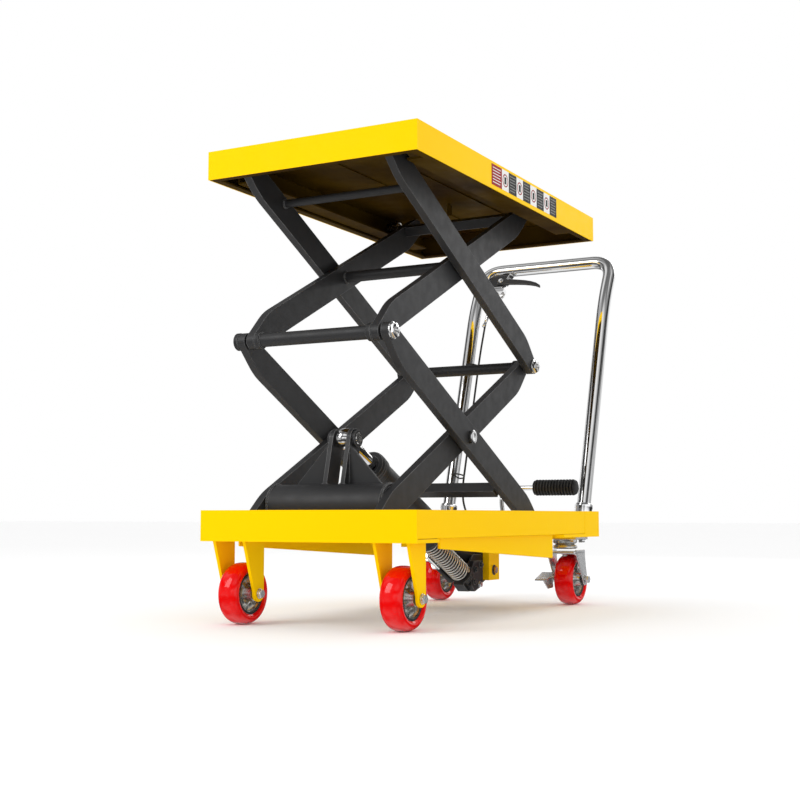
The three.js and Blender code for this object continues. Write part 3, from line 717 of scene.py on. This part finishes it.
# From the pivot to the tip: distance along, drop below the pivot, and half the thickness.
LEVER_SPINE = ((-0.011, 0.002, 0.01), (0.006, 0.002, 0.0098), (0.03, 0.0045, 0.0086), (0.055, 0.008, 0.0076),
               (0.077, 0.0115, 0.007), (0.098, 0.0165, 0.0062), (0.115, 0.0225, 0.005), (0.129, 0.031, 0.0034))


def finger_lever():
    """Lever that thins towards its drooping tip, with its pivot pin."""
    origin, up, normal = handle_plane()
    axis = pivot("lever_pivot")
    height = (axis - origin).dot(up)
    lever = Piece("finger_lever", "lever", "black_paint", BLACK)
    upper = [(axis.x + x, height - drop + half) for x, drop, half in reversed(LEVER_SPINE)]
    lower = [(axis.x + x, height - drop - half) for x, drop, half in LEVER_SPINE]
    lever.plate(upper + lower, origin + normal * 0.0046, X, up, 0.0078)
    lever.paint(CHROME)
    lever.turned([(0, 0), (0, 0.0075), (0.001, 0.008), (0.003, 0.008), (0.0042, 0.006), (0.0046, 0)],
                 axis + normal * 0.0122, normal, 28)
    lever.turned([(0, 0), (0, 0.0035), (0.018, 0.0035), (0.018, 0)], axis - normal * 0.0065, normal, 20)
    lever.done("release_lever", bevel=0.002, segments=3)


def lever_fittings():
    """Bolted plates on the open edge of the lever's bracket, and the block that grips the wire."""
    origin, up, normal = handle_plane()
    fittings = Piece("lever_clamp_bolts", "base", "chrome", CHROME)
    edge = [origin + X * x + up * u for x, u in ((-0.1, 0.153), (-0.1115, 0.1225), (-0.1195, 0.099))]
    half = 0.011
    for start, stop in zip(edge, edge[1:]):
        run = stop - start
        out = run.cross(normal).normalized()
        if out.x < 0:
            out.negate()
        strip = [(0, -half), (run.length, -half), (run.length, half), (0, half)]
        fittings.plate(strip, start, run.normalized(), normal, 0.003)
        fittings.bolt((start + stop) / 2 + out * 0.003 + normal * 0.004, out, 0.008)
    clamp = origin - X * 0.158 + up * 0.066 - normal * 0.01
    fittings.plate([(0, 0), (0.038, 0), (0.038, 0.013), (0, 0.013)], clamp, X, up, 0.02)
    fittings.plate([(-0.004, 0.013), (0.03, 0.013), (0.03, 0.016), (-0.004, 0.016)], clamp, X, up, 0.022)
    for dx in (0.01, 0.028):
        fittings.nut(clamp + X * dx, -up, 0.012, 0.006)
        fittings.turned([(0, 0), (0, 0.0035), (0.011, 0.0035), (0.012, 0)], clamp + X * dx, -up, 20)
    fittings.done()


# From the lever's bracket down the left post and under the frame to the pump.
CABLE_ROUTE = ((-0.152, 0.6135, 0.882), (-0.156, 0.5985, 0.846), (-0.17, 0.5835, 0.8), (-0.172, 0.5475, 0.7),
               (-0.172, 0.4275, 0.315), (-0.166, 0.4155, 0.262), (-0.12, 0.3975, 0.18), (-0.06, 0.3415, 0.16),
               (-0.016, 0.2715, 0.146), (-0.014, 0.2015, 0.104))


def release_cable():
    """Rubber sleeve with its chrome adjuster at the second bend and three straps round the post."""
    radius, steps = 0.0028, 14
    path = bent(CABLE_ROUTE, 0.04, steps)
    second_bend = steps + 2
    cable = Piece("release_cable_sleeve", "base", "rubber", RUBBER)
    cable.tube(path, radius, 16)
    cable.paint(CHROME)
    down = (path[second_bend + 2] - path[second_bend - 2]).normalized()
    cable.turned([(0, radius), (0, 0.0052), (0.004, 0.006), (0.01, 0.006), (0.012, 0.0046), (0.03, 0.0046),
                  (0.032, 0.0058), (0.04, 0.0058), (0.042, radius)], path[second_bend], down, 28, closed=True)
    cable.paint(RUBBER)
    for height in (0.66, 0.5, 0.34):
        strap(cable, height)
    cable.done("release_cable")


def strap(cable, height):
    """A thin oval band round the left post and the cable beside it."""
    points = handle_points()
    post = (points[1] - points[0]).normalized()
    centre = on_post(points[0], height)
    half, thickness, count = 0.002, 0.0012, 40
    section = ((-half, 0), (-half, thickness), (half, thickness), (half, 0))
    rings = []
    for i in range(count):
        turn = 2 * math.pi * i / count
        spot = centre + X * (0.0125 + 0.0215 * math.cos(turn)) + X.cross(post) * (0.0195 * math.sin(turn))
        out = (spot - centre).normalized()
        rings.append([spot + post * along + out * above for along, above in section])
    cable.skin(rings, closed=True)


def hand_release():
    finish_nodes(BLACK, 0.0012, "lever_bracket")
    finger_lever()
    lever_fittings()
    release_cable()


# ------------------------------------------------------------------ scissor
ARM_INSIDE, ARM_OUTSIDE = 0.1417, 0.1833


def scissor():
    arms = both("lower_inner_arm", "lower_outer_arm", "upper_inner_arm", "upper_outer_arm")
    finish_nodes(BLACK, 0.0016, *arms)
    finish_nodes(BLACK, 0.0011, "lower_tie_bar", "upper_tie_bar")
    for name, side in SIDES:
        centre_pin_head(name, side)
    middle_axle("rear_middle_axle", "lower_inner", 0.0135)
    middle_axle("front_middle_axle", "upper_inner", 0.0145)
    centre = Piece("upper_centre_cross_tube", "upper_inner", "black_paint", BLACK)
    cross_tube(centre, "upper_centre_tube", ARM_INSIDE, radius=0.013, seam=0.0138, bead=0.0024, sides=48)
    brace = Piece("upper_brace_tube", "upper_outer", "black_paint", BLACK)
    reach = half_size("upper_cross_tube").x
    cross_tube(brace, "upper_cross_tube", reach, radius=0.009, seam=0.0097, bead=0.0022, sides=40)
    for level in ("lower", "upper"):
        for name, _ in SIDES:
            roller(f"{level}_roller_{name}")


def centre_pin_head(name, side):
    """Shallow dished head on the pin where the lower arms cross."""
    face, radius = 0.1875, 0.0155
    head = Piece(f"lower_centre_pin_head_{name}", "lower_inner", "chrome", CHROME)
    head.turned([(0, 0), (0, radius * 0.96), (0.0008, radius), (0.003, radius), (0.0042, radius * 0.86),
                 (0.0044, radius * 0.5), (0.0038, radius * 0.42), (0.0038, 0)],
                pivot("lower_centre") + X * side * face, X * side, 48)
    head.done()


def cross_tube(tube, node, half, radius, seam, bead, sides):
    """A round tube between two arms with a weld bead round each end."""
    hub = middle(node)
    tube.turned(rounded_bar(half, radius), hub, sides=sides)
    for side in (-1, 1):
        tube.weld(circle(hub + X * side * (half - 0.001), X, seam), bead)
    tube.done(node)


def roller(node):
    half, _, radius = half_size(node)
    piece = Piece(f"{node}_wheel", node, "zinc", STEEL)
    dish = half - 0.0015
    face = [(half, 0.0095), (half, radius * 0.5), (dish, radius * 0.56), (dish, radius * 0.78),
            (half, radius * 0.84), (half - 0.0002, radius * 0.94), (half - 0.0016, radius)]
    piece.turned(mirrored(face), middle(node), sides=48, closed=True).done(node)


def middle_axle(node, body, radius):
    """Cross tube with the bolt that runs through both arms of each side."""
    hub = middle(node)
    tip = half_size(node).x
    tube = Piece(f"{node}_tube", body, "black_paint", BLACK)
    tube.turned(rounded_bar(ARM_INSIDE, radius), hub, sides=48)
    collar = [(0, radius - 0.002), (0, radius + 0.0035), (0.001, radius + 0.0042), (0.01, radius + 0.0042),
              (0.011, radius + 0.0034), (0.0112, radius - 0.002)]
    for side in (-1, 1):
        tube.turned(collar, hub + X * side * (ARM_INSIDE - 0.0115), X * side, 48, closed=True)
    tube.turned(mirrored([(-ARM_OUTSIDE, 0), (-ARM_OUTSIDE, 0.0098)]), hub, sides=32)
    tube.paint(CAST_BLACK)
    tube.turned([(0, 0), (0, 0.018), (0.001, 0.0188), (0.0088, 0.0188), (0.01, 0.0178), (0.01, 0)],
                hub - X * (ARM_OUTSIDE + 0.0102), X, 48)
    tube.turned([(0, 0), (0.0006, 0.006), (0.0016, 0.0068), (0.006, 0.0068), (0.006, 0)], hub - X * tip, X, 28)
    tube.paint(CHROME)
    locknut(tube, hub + X * ARM_OUTSIDE)
    tube.done(node)


def locknut(piece, face):
    """Washer, nut and the end of the thread, on the right face of an arm."""
    washer = 0.0026
    rim = [(0, 0.0178), (0.0005, 0.0182), (washer - 0.0004, 0.0182), (washer, 0.0176)]
    piece.turned([(0, 0), *rim, (washer, 0)], face, X, 44)
    piece.nut(face + X * washer, X, 0.0285, 0.0072, 0.35)
    thread = [(0.009, 0), (0.009, 0.0066)]
    for i in range(4):
        thread += [(0.0098 + i * 0.0011, 0.007), (0.01035 + i * 0.0011, 0.0064)]
    piece.turned(thread + [(0.0142, 0.0056), (0.0146, 0)], face, X, 28)


# ------------------------------------------------------------------ lift beam and its lugs
BEAM_RADIUS = 0.0445
LUG_NEAR, LUG_FAR = 0.0165, 0.0265


def lift_beam():
    """Torsion tube between the lower arms, with the two lugs that hold the ram's pin."""
    low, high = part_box("lift_beam")
    hub = Vector((0, low.y + BEAM_RADIUS, low.z + BEAM_RADIUS))
    reach, wall, lip = (high.x - low.x) / 2, 0.006, 0.001
    beam = Piece("lift_beam_tube", "lower_inner", "black_paint", BLACK)
    left_end = [(-reach, BEAM_RADIUS - wall), (-reach, BEAM_RADIUS - lip), (lip - reach, BEAM_RADIUS)]
    beam.turned(mirrored(left_end), hub, sides=96, closed=True)
    for side in (-1, 1):
        beam.weld(circle(hub + X * side * (reach - 0.0042), X, BEAM_RADIUS + 0.0006, 90), 0.0026)
    beam.done("lift_beam")
    for name, side in SIDES:
        ram_lug(name, side, hub)
        lug_gusset(name, side, hub)
    seams = Piece("lift_beam_welds", "lower_inner", "black_paint", BLACK)
    for x in (-0.0268, -0.0162, 0.0162, 0.0268):
        spots = arc(hub.y, hub.z, BEAM_RADIUS + 0.0005, math.radians(88), math.radians(20), 30)
        seams.weld([(x, y, z) for y, z in spots], 0.0022)
    seams.done()
    ram_pin()


def ram_lug(name, side, hub):
    """Plate that rises from the tube, round at the top where the pin goes through."""
    eye = pivot("ram_eye")
    outline = [(hub.y - 0.004, hub.z + 0.02), (eye.y - 0.022, eye.z + 0.005)]
    outline += arc(eye.y, eye.z, 0.022, math.pi - 0.2, 0.1, 28)
    outline += [(hub.y + 0.043, hub.z + 0.012), (hub.y + 0.01, hub.z - 0.02)]
    lug = Piece(f"ram_lug_{name}", "lower_inner", "black_paint", BLACK)
    left = LUG_NEAR if side > 0 else -LUG_FAR
    lug.plate(outline, Vector((left, 0, 0)), Y, Z, LUG_FAR - LUG_NEAR)
    lug.done(bevel=0.0012)


def lug_gusset(name, side, hub):
    """Triangular rib beside a lug, with its weld beads."""
    rear, thickness = hub.y + 0.031, 0.008
    gusset = Piece(f"lug_gusset_{name}", "lower_inner", "black_paint", BLACK)
    corners = [(side * 0.0256, hub.z + 0.032), (side * 0.113, hub.z + 0.035), (side * 0.104, hub.z + 0.045),
               (side * 0.0256, hub.z + 0.13)]
    gusset.plate(corners, Vector((0, rear, 0)), X, Z, thickness)
    gusset.done(bevel=0.0012)
    bead = Piece(f"gusset_weld_{name}", "lower_inner", "black_paint", BLACK)
    for y in (rear + 0.0008, rear - thickness - 0.0008):
        foot = hub.z + math.sqrt(BEAM_RADIUS ** 2 - (y - hub.y) ** 2)
        bead.weld([(side * 0.03, y, foot), (side * 0.109, y, foot)], 0.002)
        bead.weld([(side * 0.027, y, foot), (side * 0.027, y, hub.z + 0.122)], 0.0018)
    bead.done()


def ram_pin():
    """Pin through the lugs with a black cap and a steel button on each end."""
    eye = pivot("ram_eye")
    pin = Piece("ram_pin_bar", "lower_inner", "chrome", CHROME)
    pin.turned(rounded_bar(0.0345, 0.012), eye, sides=40)
    cap = [(0, 0), (0, 0.0182), (0.001, 0.019), (0.0052, 0.019), (0.0064, 0.018), (0.0066, 0.013),
           (0.0058, 0.0122), (0.0058, 0)]
    button = [(0, 0), (0, 0.0112), (0.0008, 0.0118), (0.0022, 0.011), (0.0024, 0)]
    for side in (-1, 1):
        pin.paint(CAST_BLACK).turned(cap, eye + X * side * 0.0268, X * side, 44)
        pin.paint(STEEL).turned(button, eye + X * side * 0.0325, X * side, 36)
    pin.done("ram_pin")


# ------------------------------------------------------------------ ram, pump and pedal
RAM_TILT = math.radians(25.12)
ALONG_RAM = Vector((0, -math.cos(RAM_TILT), math.sin(RAM_TILT)))
ABOVE_RAM = Vector((0, math.sin(RAM_TILT), math.cos(RAM_TILT)))
PISTON_X, PISTON_DROP = 0.028, -0.056
PISTON_CAP = 0.3
LINK_X, LINK_DROP = -0.018, -0.058
PUMP_SIDE = 0.054


def on_ram(along, above=0.0, x=0.0):
    """A point measured from the ram's foot, along its bore and square to it."""
    return pivot("ram_foot") + ALONG_RAM * along + ABOVE_RAM * above + X * x


def ram():
    """Barrel with its gland and two clip rings, and the chrome rod with a ball eye."""
    radius, bore, end = 0.031, 0.0235, 0.58
    foot = on_ram(0)
    barrel = Piece("ram_cylinder", "pump", "black_paint", BLACK)
    shell = [(0.04, 0), (0.04, radius - 0.002), (0.042, radius), (end - 0.036, radius)]
    collar = [(end - 0.034, radius + 0.003), (end - 0.032, radius + 0.0038), (end - 0.003, radius + 0.0038)]
    mouth = [(end, radius + 0.002), (end, bore), (end - 0.05, bore), (end - 0.05, 0)]
    barrel.turned(shell + collar + mouth, foot, ALONG_RAM, 72)
    barrel.paint(CAST_BLACK)
    barrel.turned([(end - 0.016, 0.0162), (end - 0.0015, 0.0162), (end - 0.0005, 0.0172), (end - 0.0005, bore),
                   (end - 0.016, bore)], foot, ALONG_RAM, 56, closed=True)
    barrel.paint(BLACK)
    under, over = radius + 0.003, radius + 0.0046
    for along in (end - 0.02, end - 0.012):
        clip = [(along, under), (along + 0.0012, over), (along + 0.0034, over), (along + 0.0046, under)]
        barrel.turned(clip, foot, ALONG_RAM, 72, closed=True)
    barrel.done("ram_barrel")
    rod = Piece("ram_piston_rod", "rod", "chrome", CHROME)
    eye = pivot("ram_eye")
    rod.turned([(0.01, 0), (0.01, 0.0135), (0.014, 0.015), (0.498, 0.015), (0.5, 0.0135), (0.5, 0)],
               eye, -ALONG_RAM, 56)
    half, ball, hole = 0.0158, 0.0232, 0.0123
    rounds = [half * (i / 8 - 1) for i in range(17)]
    rod.turned([(-half, hole)] + [(x, math.sqrt(ball ** 2 - x * x)) for x in rounds] + [(half, hole)],
               eye, X, 56, closed=True)
    rod.done("ram_rod")


def pump_fittings():
    """Bolts and plugs of the pump's casting, the spring's seat, and the two link rods."""
    block = Piece("pump_fittings", "pump", "zinc", ZINC)
    block.bolt((PUMP_SIDE, 0.0525, 0.06), X, 0.007, tip=False)
    block.paint(CAST_BLACK)
    for y, z in ((0.03, 0.098), (0.058, 0.108), (0.022, 0.068)):
        block.bolt((PUMP_SIDE, y, z), X, 0.007, tip=False)
    seat = [(0.088, 0), (0.088, 0.024), (0.092, 0.0275), (0.098, 0.0275), (0.1, 0.0255), (0.103, 0.0255),
            (0.105, 0.0275), (0.111, 0.0275), (0.1135, 0.024), (0.1135, 0)]
    block.turned(seat, on_ram(0, PISTON_DROP, PISTON_X), ALONG_RAM, 56)
    block.block((-0.028, 0.0375, 0.068), (0.000, 0.0815, 0.096))
    stem = [(0.07, 0), (0.07, 0.0085), (0.105, 0.0085), (0.108, 0.0072), (0.155, 0.0072), (0.157, 0.006),
            (0.157, 0)]
    block.turned(stem, on_ram(0, LINK_DROP, LINK_X), ALONG_RAM, 36)
    block.paint(CHROME)
    for x, above in ((-0.024, -0.055), (-0.012, -0.062)):
        block.tube([on_ram(0.154 + 0.072 * i / 6, above, x) for i in range(7)], 0.0042, 20)
    for along in (0.158, 0.205):
        block.nut(on_ram(along, LINK_DROP, LINK_X), ALONG_RAM, 0.02, 0.007)
    block.done()


def return_spring():
    """Coil round a guide tube that the piston slides in."""
    radius, wire, turns, first, last = 0.0228, 0.0023, 16, 0.1157, 0.2979
    per_turn = 28
    coil = []
    for i in range(turns * per_turn + 1):
        angle = 2 * math.pi * i / per_turn
        share = i / (turns * per_turn)
        spot = on_ram(first + (last - first) * share, PISTON_DROP, PISTON_X)
        coil.append(spot + X * radius * math.cos(angle) + ABOVE_RAM * radius * math.sin(angle))
    spring = Piece("return_spring_coil", "pump", "zinc", SPRING)
    made = spring.tube(coil, wire, 12).done("pump_spring")
    travel = JOINTS["piston_slide"]["range_m"][1]
    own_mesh(made)

    end, bore, outside = PISTON_CAP - travel - 0.006, 0.01, 0.019
    # The guide is cast black and nearly fills the coil, so the gaps between the turns read dark: painted shade.
    guide = Piece("spring_guide", "pump", "black_paint", CAST_BLACK)
    wall = [(0.112, bore), (0.112, outside), (end - 0.001, outside), (end, outside - 0.0012), (end, bore)]
    guide.turned(wall, on_ram(0, PISTON_DROP, PISTON_X), ALONG_RAM, 40, closed=True)
    guide.done()


def plunger():
    """Pump piston with the cap that the spring pushes out."""
    cap, stem, rim = PISTON_CAP, 0.0088, 0.0272
    # The plunger is cast black, not chrome, so that the inside of the spring reads dark: painted shade.
    piston = Piece("pump_plunger", "piston", "chrome", CAST_BLACK)
    rod = [(0.06, 0), (0.06, stem), (cap + 0.0005, stem)]
    disc = [(cap + 0.0012, rim - 0.001), (cap + 0.0022, rim), (cap + 0.0075, rim), (cap + 0.009, rim - 0.0014)]
    button = [(cap + 0.009, 0.012), (cap + 0.01, 0.01), (cap + 0.01, 0)]
    piston.turned(rod + disc + button, on_ram(0, PISTON_DROP, PISTON_X), ALONG_RAM, 48)
    piston.done("pump_piston")


def pump():
    finish_nodes(CAST_BLACK, 0.0014, "pump_block")
    pump_fittings()
    return_spring()
    plunger()


def pedal():
    """Ribbed rubber pad on a chrome rod that is bent down to its pivot."""
    low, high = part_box("pedal_pad")
    hub = middle("pedal_pad")
    radius = (high.z - low.z) / 2
    pad = Piece("foot_pad", "pedal", "rubber", RUBBER)
    pad.turned(pad_profile(high.x - low.x, radius), Vector((low.x, hub.y, hub.z)), X, 56).done("pedal_pad")

    joint = pivot("pedal_pivot")
    arm = Piece("pedal_rod", "pedal", "chrome", CHROME)
    knots = [(low.x + 0.004, hub.y, hub.z), (-0.084, hub.y, hub.z), (-0.09, hub.y - 0.008, hub.z - 0.034),
             (-0.047, 0.4415, 0.148), (-0.047, joint.y + 0.004, joint.z)]
    arm.tube(bent(knots, 0.026, 14), 0.0065, 28)
    arm.paint(CAST_BLACK)
    boss = [(-0.007, 0.0075), (-0.007, 0.012), (-0.006, 0.013), (0.006, 0.013), (0.007, 0.012), (0.007, 0.0075)]
    arm.turned(boss, joint, X, 36, closed=True)
    arm.done("pedal_arm")


def pad_profile(length, radius):
    ribs = 13
    pitch = (length - 0.01) / ribs
    groove, shoulder, crest = radius * 0.79, radius * 0.995 * 0.985, radius * 0.995
    profile = [(0, 0), (0, radius * 0.8), (0.0015, radius * 0.9)]
    for i in range(ribs):
        x = 0.003 + i * pitch
        rib = ((0, groove), (0.28, groove), (0.38, shoulder), (0.48, crest), (0.74, crest), (0.86, shoulder),
               (0.94, groove))
        profile += [(x + pitch * share, height) for share, height in rib]
    profile += [(length - 0.005, radius * 0.93), (length - 0.0015, radius * 0.84)]
    return profile + [(length, radius * 0.7), (length, 0)]


# ------------------------------------------------------------------ base and platform
def base():
    finish_nodes(YELLOW, 0.0016, "base_front_beam", "base_rear_beam", "base_cross_beam", *both("base_rail"))
    foot = pivot("ram_foot")
    bolts = Piece("base_bolts", "base", "zinc", COPPER)
    washer = [(0.0002, 0), (0.0002, 0.0128), (0.0006, 0.0132), (0.0012, 0.0128), (0.0014, 0)]
    for side in (-1, 1):
        face = Vector((side * 0.06, foot.y, foot.z))
        bolts.paint(CAST_BLACK).turned(washer, face, X * side, 40)
        bolts.paint(COPPER).nut(face + X * side * 0.0013, X * side, 0.0165, 0.0062, 0.2)
    bolts.done()
    base_welds(foot)


def base_welds(foot):
    """Beads along the front forks' cheeks, the ram's brackets and the skirt plates."""
    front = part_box("front_fork_right")[0].y
    under_pad, under_bracket, under_rail = 0.1748, 0.1478, 0.1836
    seams = Piece("base_welds", "base", "yellow_paint", YELLOW)
    for side in (-1, 1):
        for x in (0.1518, 0.1592, 0.2278, 0.2352):
            along_y(seams, side * x, front + 0.016, front + 0.072, under_pad, 0.0018)
        along_y(seams, side * 0.0602, foot.y - 0.028, foot.y + 0.028, under_bracket, 0.002)
        along_y(seams, side * 0.2475, -0.54, 0.05, under_rail, 0.0014)
    seams.done()


def along_y(seams, x, start, stop, z, radius):
    seams.weld([(x, start, z), (x, stop, z)], radius)


LABEL_INK = 0.0003
LABEL_TONES = ("red",) + ("white", "dark") * 4
LABEL_WIDTHS = {"red": 1.25, "white": 0.85, "dark": 1.0}


def side_label():
    """A strip of coloured fields with plain rings and bars, on the right side of the deck."""
    low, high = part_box("platform")
    colors = {
        "red": label_paint("label_red", (0.3, 0.003, 0.006)),
        "white": label_paint("label_white", (0.8, 0.8, 0.78)),
        "dark": label_paint("label_dark", (0.007, 0.008, 0.007)),
    }
    inks = {"red": colors["white"], "dark": label_paint("label_print", (0.24, 0.24, 0.23))}
    label = Piece("side_label", "platform", "yellow_paint", colors["red"])
    face, unit = high.x + 0.00015, 0.0443
    start, bottom, top = low.y + 0.353, high.z - 0.053, high.z - 0.006
    for tone in LABEL_TONES:
        stop = start + LABEL_WIDTHS[tone] * unit
        label.paint(colors[tone])
        label.block((face, start, bottom), (face + LABEL_INK, stop, top))
        if tone == "white":
            centre = Vector((face + 0.0002, (start + stop) / 2, (bottom + top) / 2))
            picture(label, centre, colors)
        else:
            label.paint(inks[tone])
            printed_rows(label, face + 0.0002, start + 0.006, stop - 0.006, top - 0.007)
        start = stop
    label.done()


def picture(label, centre, colors):
    """A red ring with a dark block in it."""
    band = [(0, 0.0122), (LABEL_INK, 0.0122), (LABEL_INK, 0.015), (0, 0.015)]
    label.paint(colors["red"]).turned(band, centre, X, 32, closed=True)
    corner = Vector((0, 0.0055, 0.008))
    label.paint(colors["dark"]).block(centre - corner, centre + corner + X * LABEL_INK)


def printed_rows(label, face, start, stop, top):
    """Six lines of print, every second one shorter."""
    half, pitch = 0.0009, 0.0066
    for row in range(6):
        z = top - row * pitch
        label.block((face, start, z - half), (face + LABEL_INK, stop - 0.004 * (row % 2), z + half))


def platform():
    finish_nodes(YELLOW_SHADED, 0.0018, "platform")
    side_label()
    low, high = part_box("platform")
    deck = high.z - 0.004
    under = Piece("platform_stiffeners", "platform", "yellow_paint", YELLOW_SHADED)
    strip = [(0, 0), (0.03, 0), (0.03, 0.003), (0, 0.003)]
    for x in (-0.077, 0.047):
        under.plate(strip, Vector((x, low.y + 0.03, deck - 0.0032)), X, Z, -0.93)
    tab = [(0, 0), (0.012, 0), (0.012, 0.022), (0.006, 0.03), (0, 0.03)]
    under.plate(tab, Vector((-0.006, 0.0, deck - 0.03)), X, Z, -0.004)
    under.done(bevel=0.0006)


# ------------------------------------------------------------------ surroundings
def area_light(name, place, target, size, power):
    data = bpy.data.lights.new(name, "AREA")
    data.shape = "RECTANGLE"
    data.size, data.size_y = size
    data.energy = power
    light = bpy.data.objects.new(name, data)
    light.location = place
    light.rotation_euler = (Vector(target) - Vector(place)).to_track_quat("-Z", "Y").to_euler()
    bpy.context.scene.collection.objects.link(light)


def make_floor():
    mesh = bmesh.new()
    bmesh.ops.create_grid(mesh, x_segments=2, y_segments=2, size=40)
    data = bpy.data.meshes.new("studio_floor")
    mesh.to_mesh(data)
    mesh.free()
    floor = bpy.data.objects.new("studio_floor", data)
    floor.visible_glossy = False
    bpy.context.scene.collection.objects.link(floor)
    s = Shader("pale_floor", (0.985, 0.985, 0.985), 0.9)
    s.mottle(0.7, 3, 0.3, 0.7, 0.3, (0.965, 0.965, 0.97))
    s.bsdf.inputs["Specular IOR Level"].default_value = 0.1
    data.materials.append(s.material)


def surroundings():
    make_floor()
    make_world()
    aim = (0, -0.1, 0.5)
    area_light("key", (-1.9, -3.4, 2.4), aim, (1.5, 2.2), 42)
    area_light("back", (0.6, 3.2, 2.2), aim, (2.4, 1.2), 20)
    bpy.context.scene.view_settings.view_transform = "Standard"


# What polished metal sees round the studio: bright panels with dark gaps between them,
# from straight down (0) to straight up (1).
SURROUND = ((0.0, 0.95), (0.26, 0.8), (0.33, 0.12), (0.41, 0.1), (0.46, 1.05), (0.6, 1.2), (0.66, 0.3),
            (0.69, 0.05), (0.73, 0.06), (0.77, 0.85), (0.86, 0.9), (1.0, 0.5))


def make_world():
    """White to the eye and for soft light, with the panels for reflections."""
    world = bpy.data.worlds.new("studio")
    bpy.context.scene.world = world
    world.use_nodes = True
    nodes, links = world.node_tree.nodes, world.node_tree.links
    white = nodes["Background"]
    white.inputs["Color"].default_value = (1, 1, 1, 1)
    white.inputs["Strength"].default_value = 1.0
    place = nodes.new("ShaderNodeTexCoord").outputs["Generated"]
    panels = nodes.new("ShaderNodeBackground")
    links.new(panel_color(nodes, links, place), panels.inputs["Color"])
    links.new(panel_level(nodes, links, place), panels.inputs["Strength"])
    mix = nodes.new("ShaderNodeMixShader")
    links.new(nodes.new("ShaderNodeLightPath").outputs["Is Glossy Ray"], mix.inputs[0])
    links.new(white.outputs[0], mix.inputs[1])
    links.new(panels.outputs[0], mix.inputs[2])
    links.new(mix.outputs[0], nodes["World Output"].inputs["Surface"])


def panel_color(nodes, links, place):
    split = nodes.new("ShaderNodeSeparateXYZ")
    links.new(place, split.inputs[0])
    height = nodes.new("ShaderNodeMapRange")
    height.inputs["From Min"].default_value = -1
    links.new(split.outputs["Z"], height.inputs["Value"])
    ramp = nodes.new("ShaderNodeValToRGB")
    stops = ramp.color_ramp.elements
    while len(stops) < len(SURROUND):
        stops.new(0.5)
    for stop, (position, value) in zip(stops, SURROUND):
        stop.position = position
        stop.color = (value, value, value * 1.01, 1)
    links.new(height.outputs["Result"], ramp.inputs["Fac"])
    return ramp.outputs["Color"]


def panel_level(nodes, links, place):
    """Large soft patches, so that the panels don't run unbroken all the way round."""
    patches = nodes.new("ShaderNodeTexNoise")
    patches.inputs["Scale"].default_value = 1.6
    patches.inputs["Detail"].default_value = 1.0
    links.new(place, patches.inputs["Vector"])
    level = nodes.new("ShaderNodeMapRange")
    for name, value in (("From Min", 0.4), ("From Max", 0.6), ("To Min", 0.25), ("To Max", 1.0)):
        level.inputs[name].default_value = value
    links.new(patches.outputs["Fac"], level.inputs["Value"])
    return level.outputs["Result"]


make_camera()
castors()
handle()
hand_release()
scissor()
lift_beam()
ram()
pump()
pedal()
base()
platform()
surroundings()
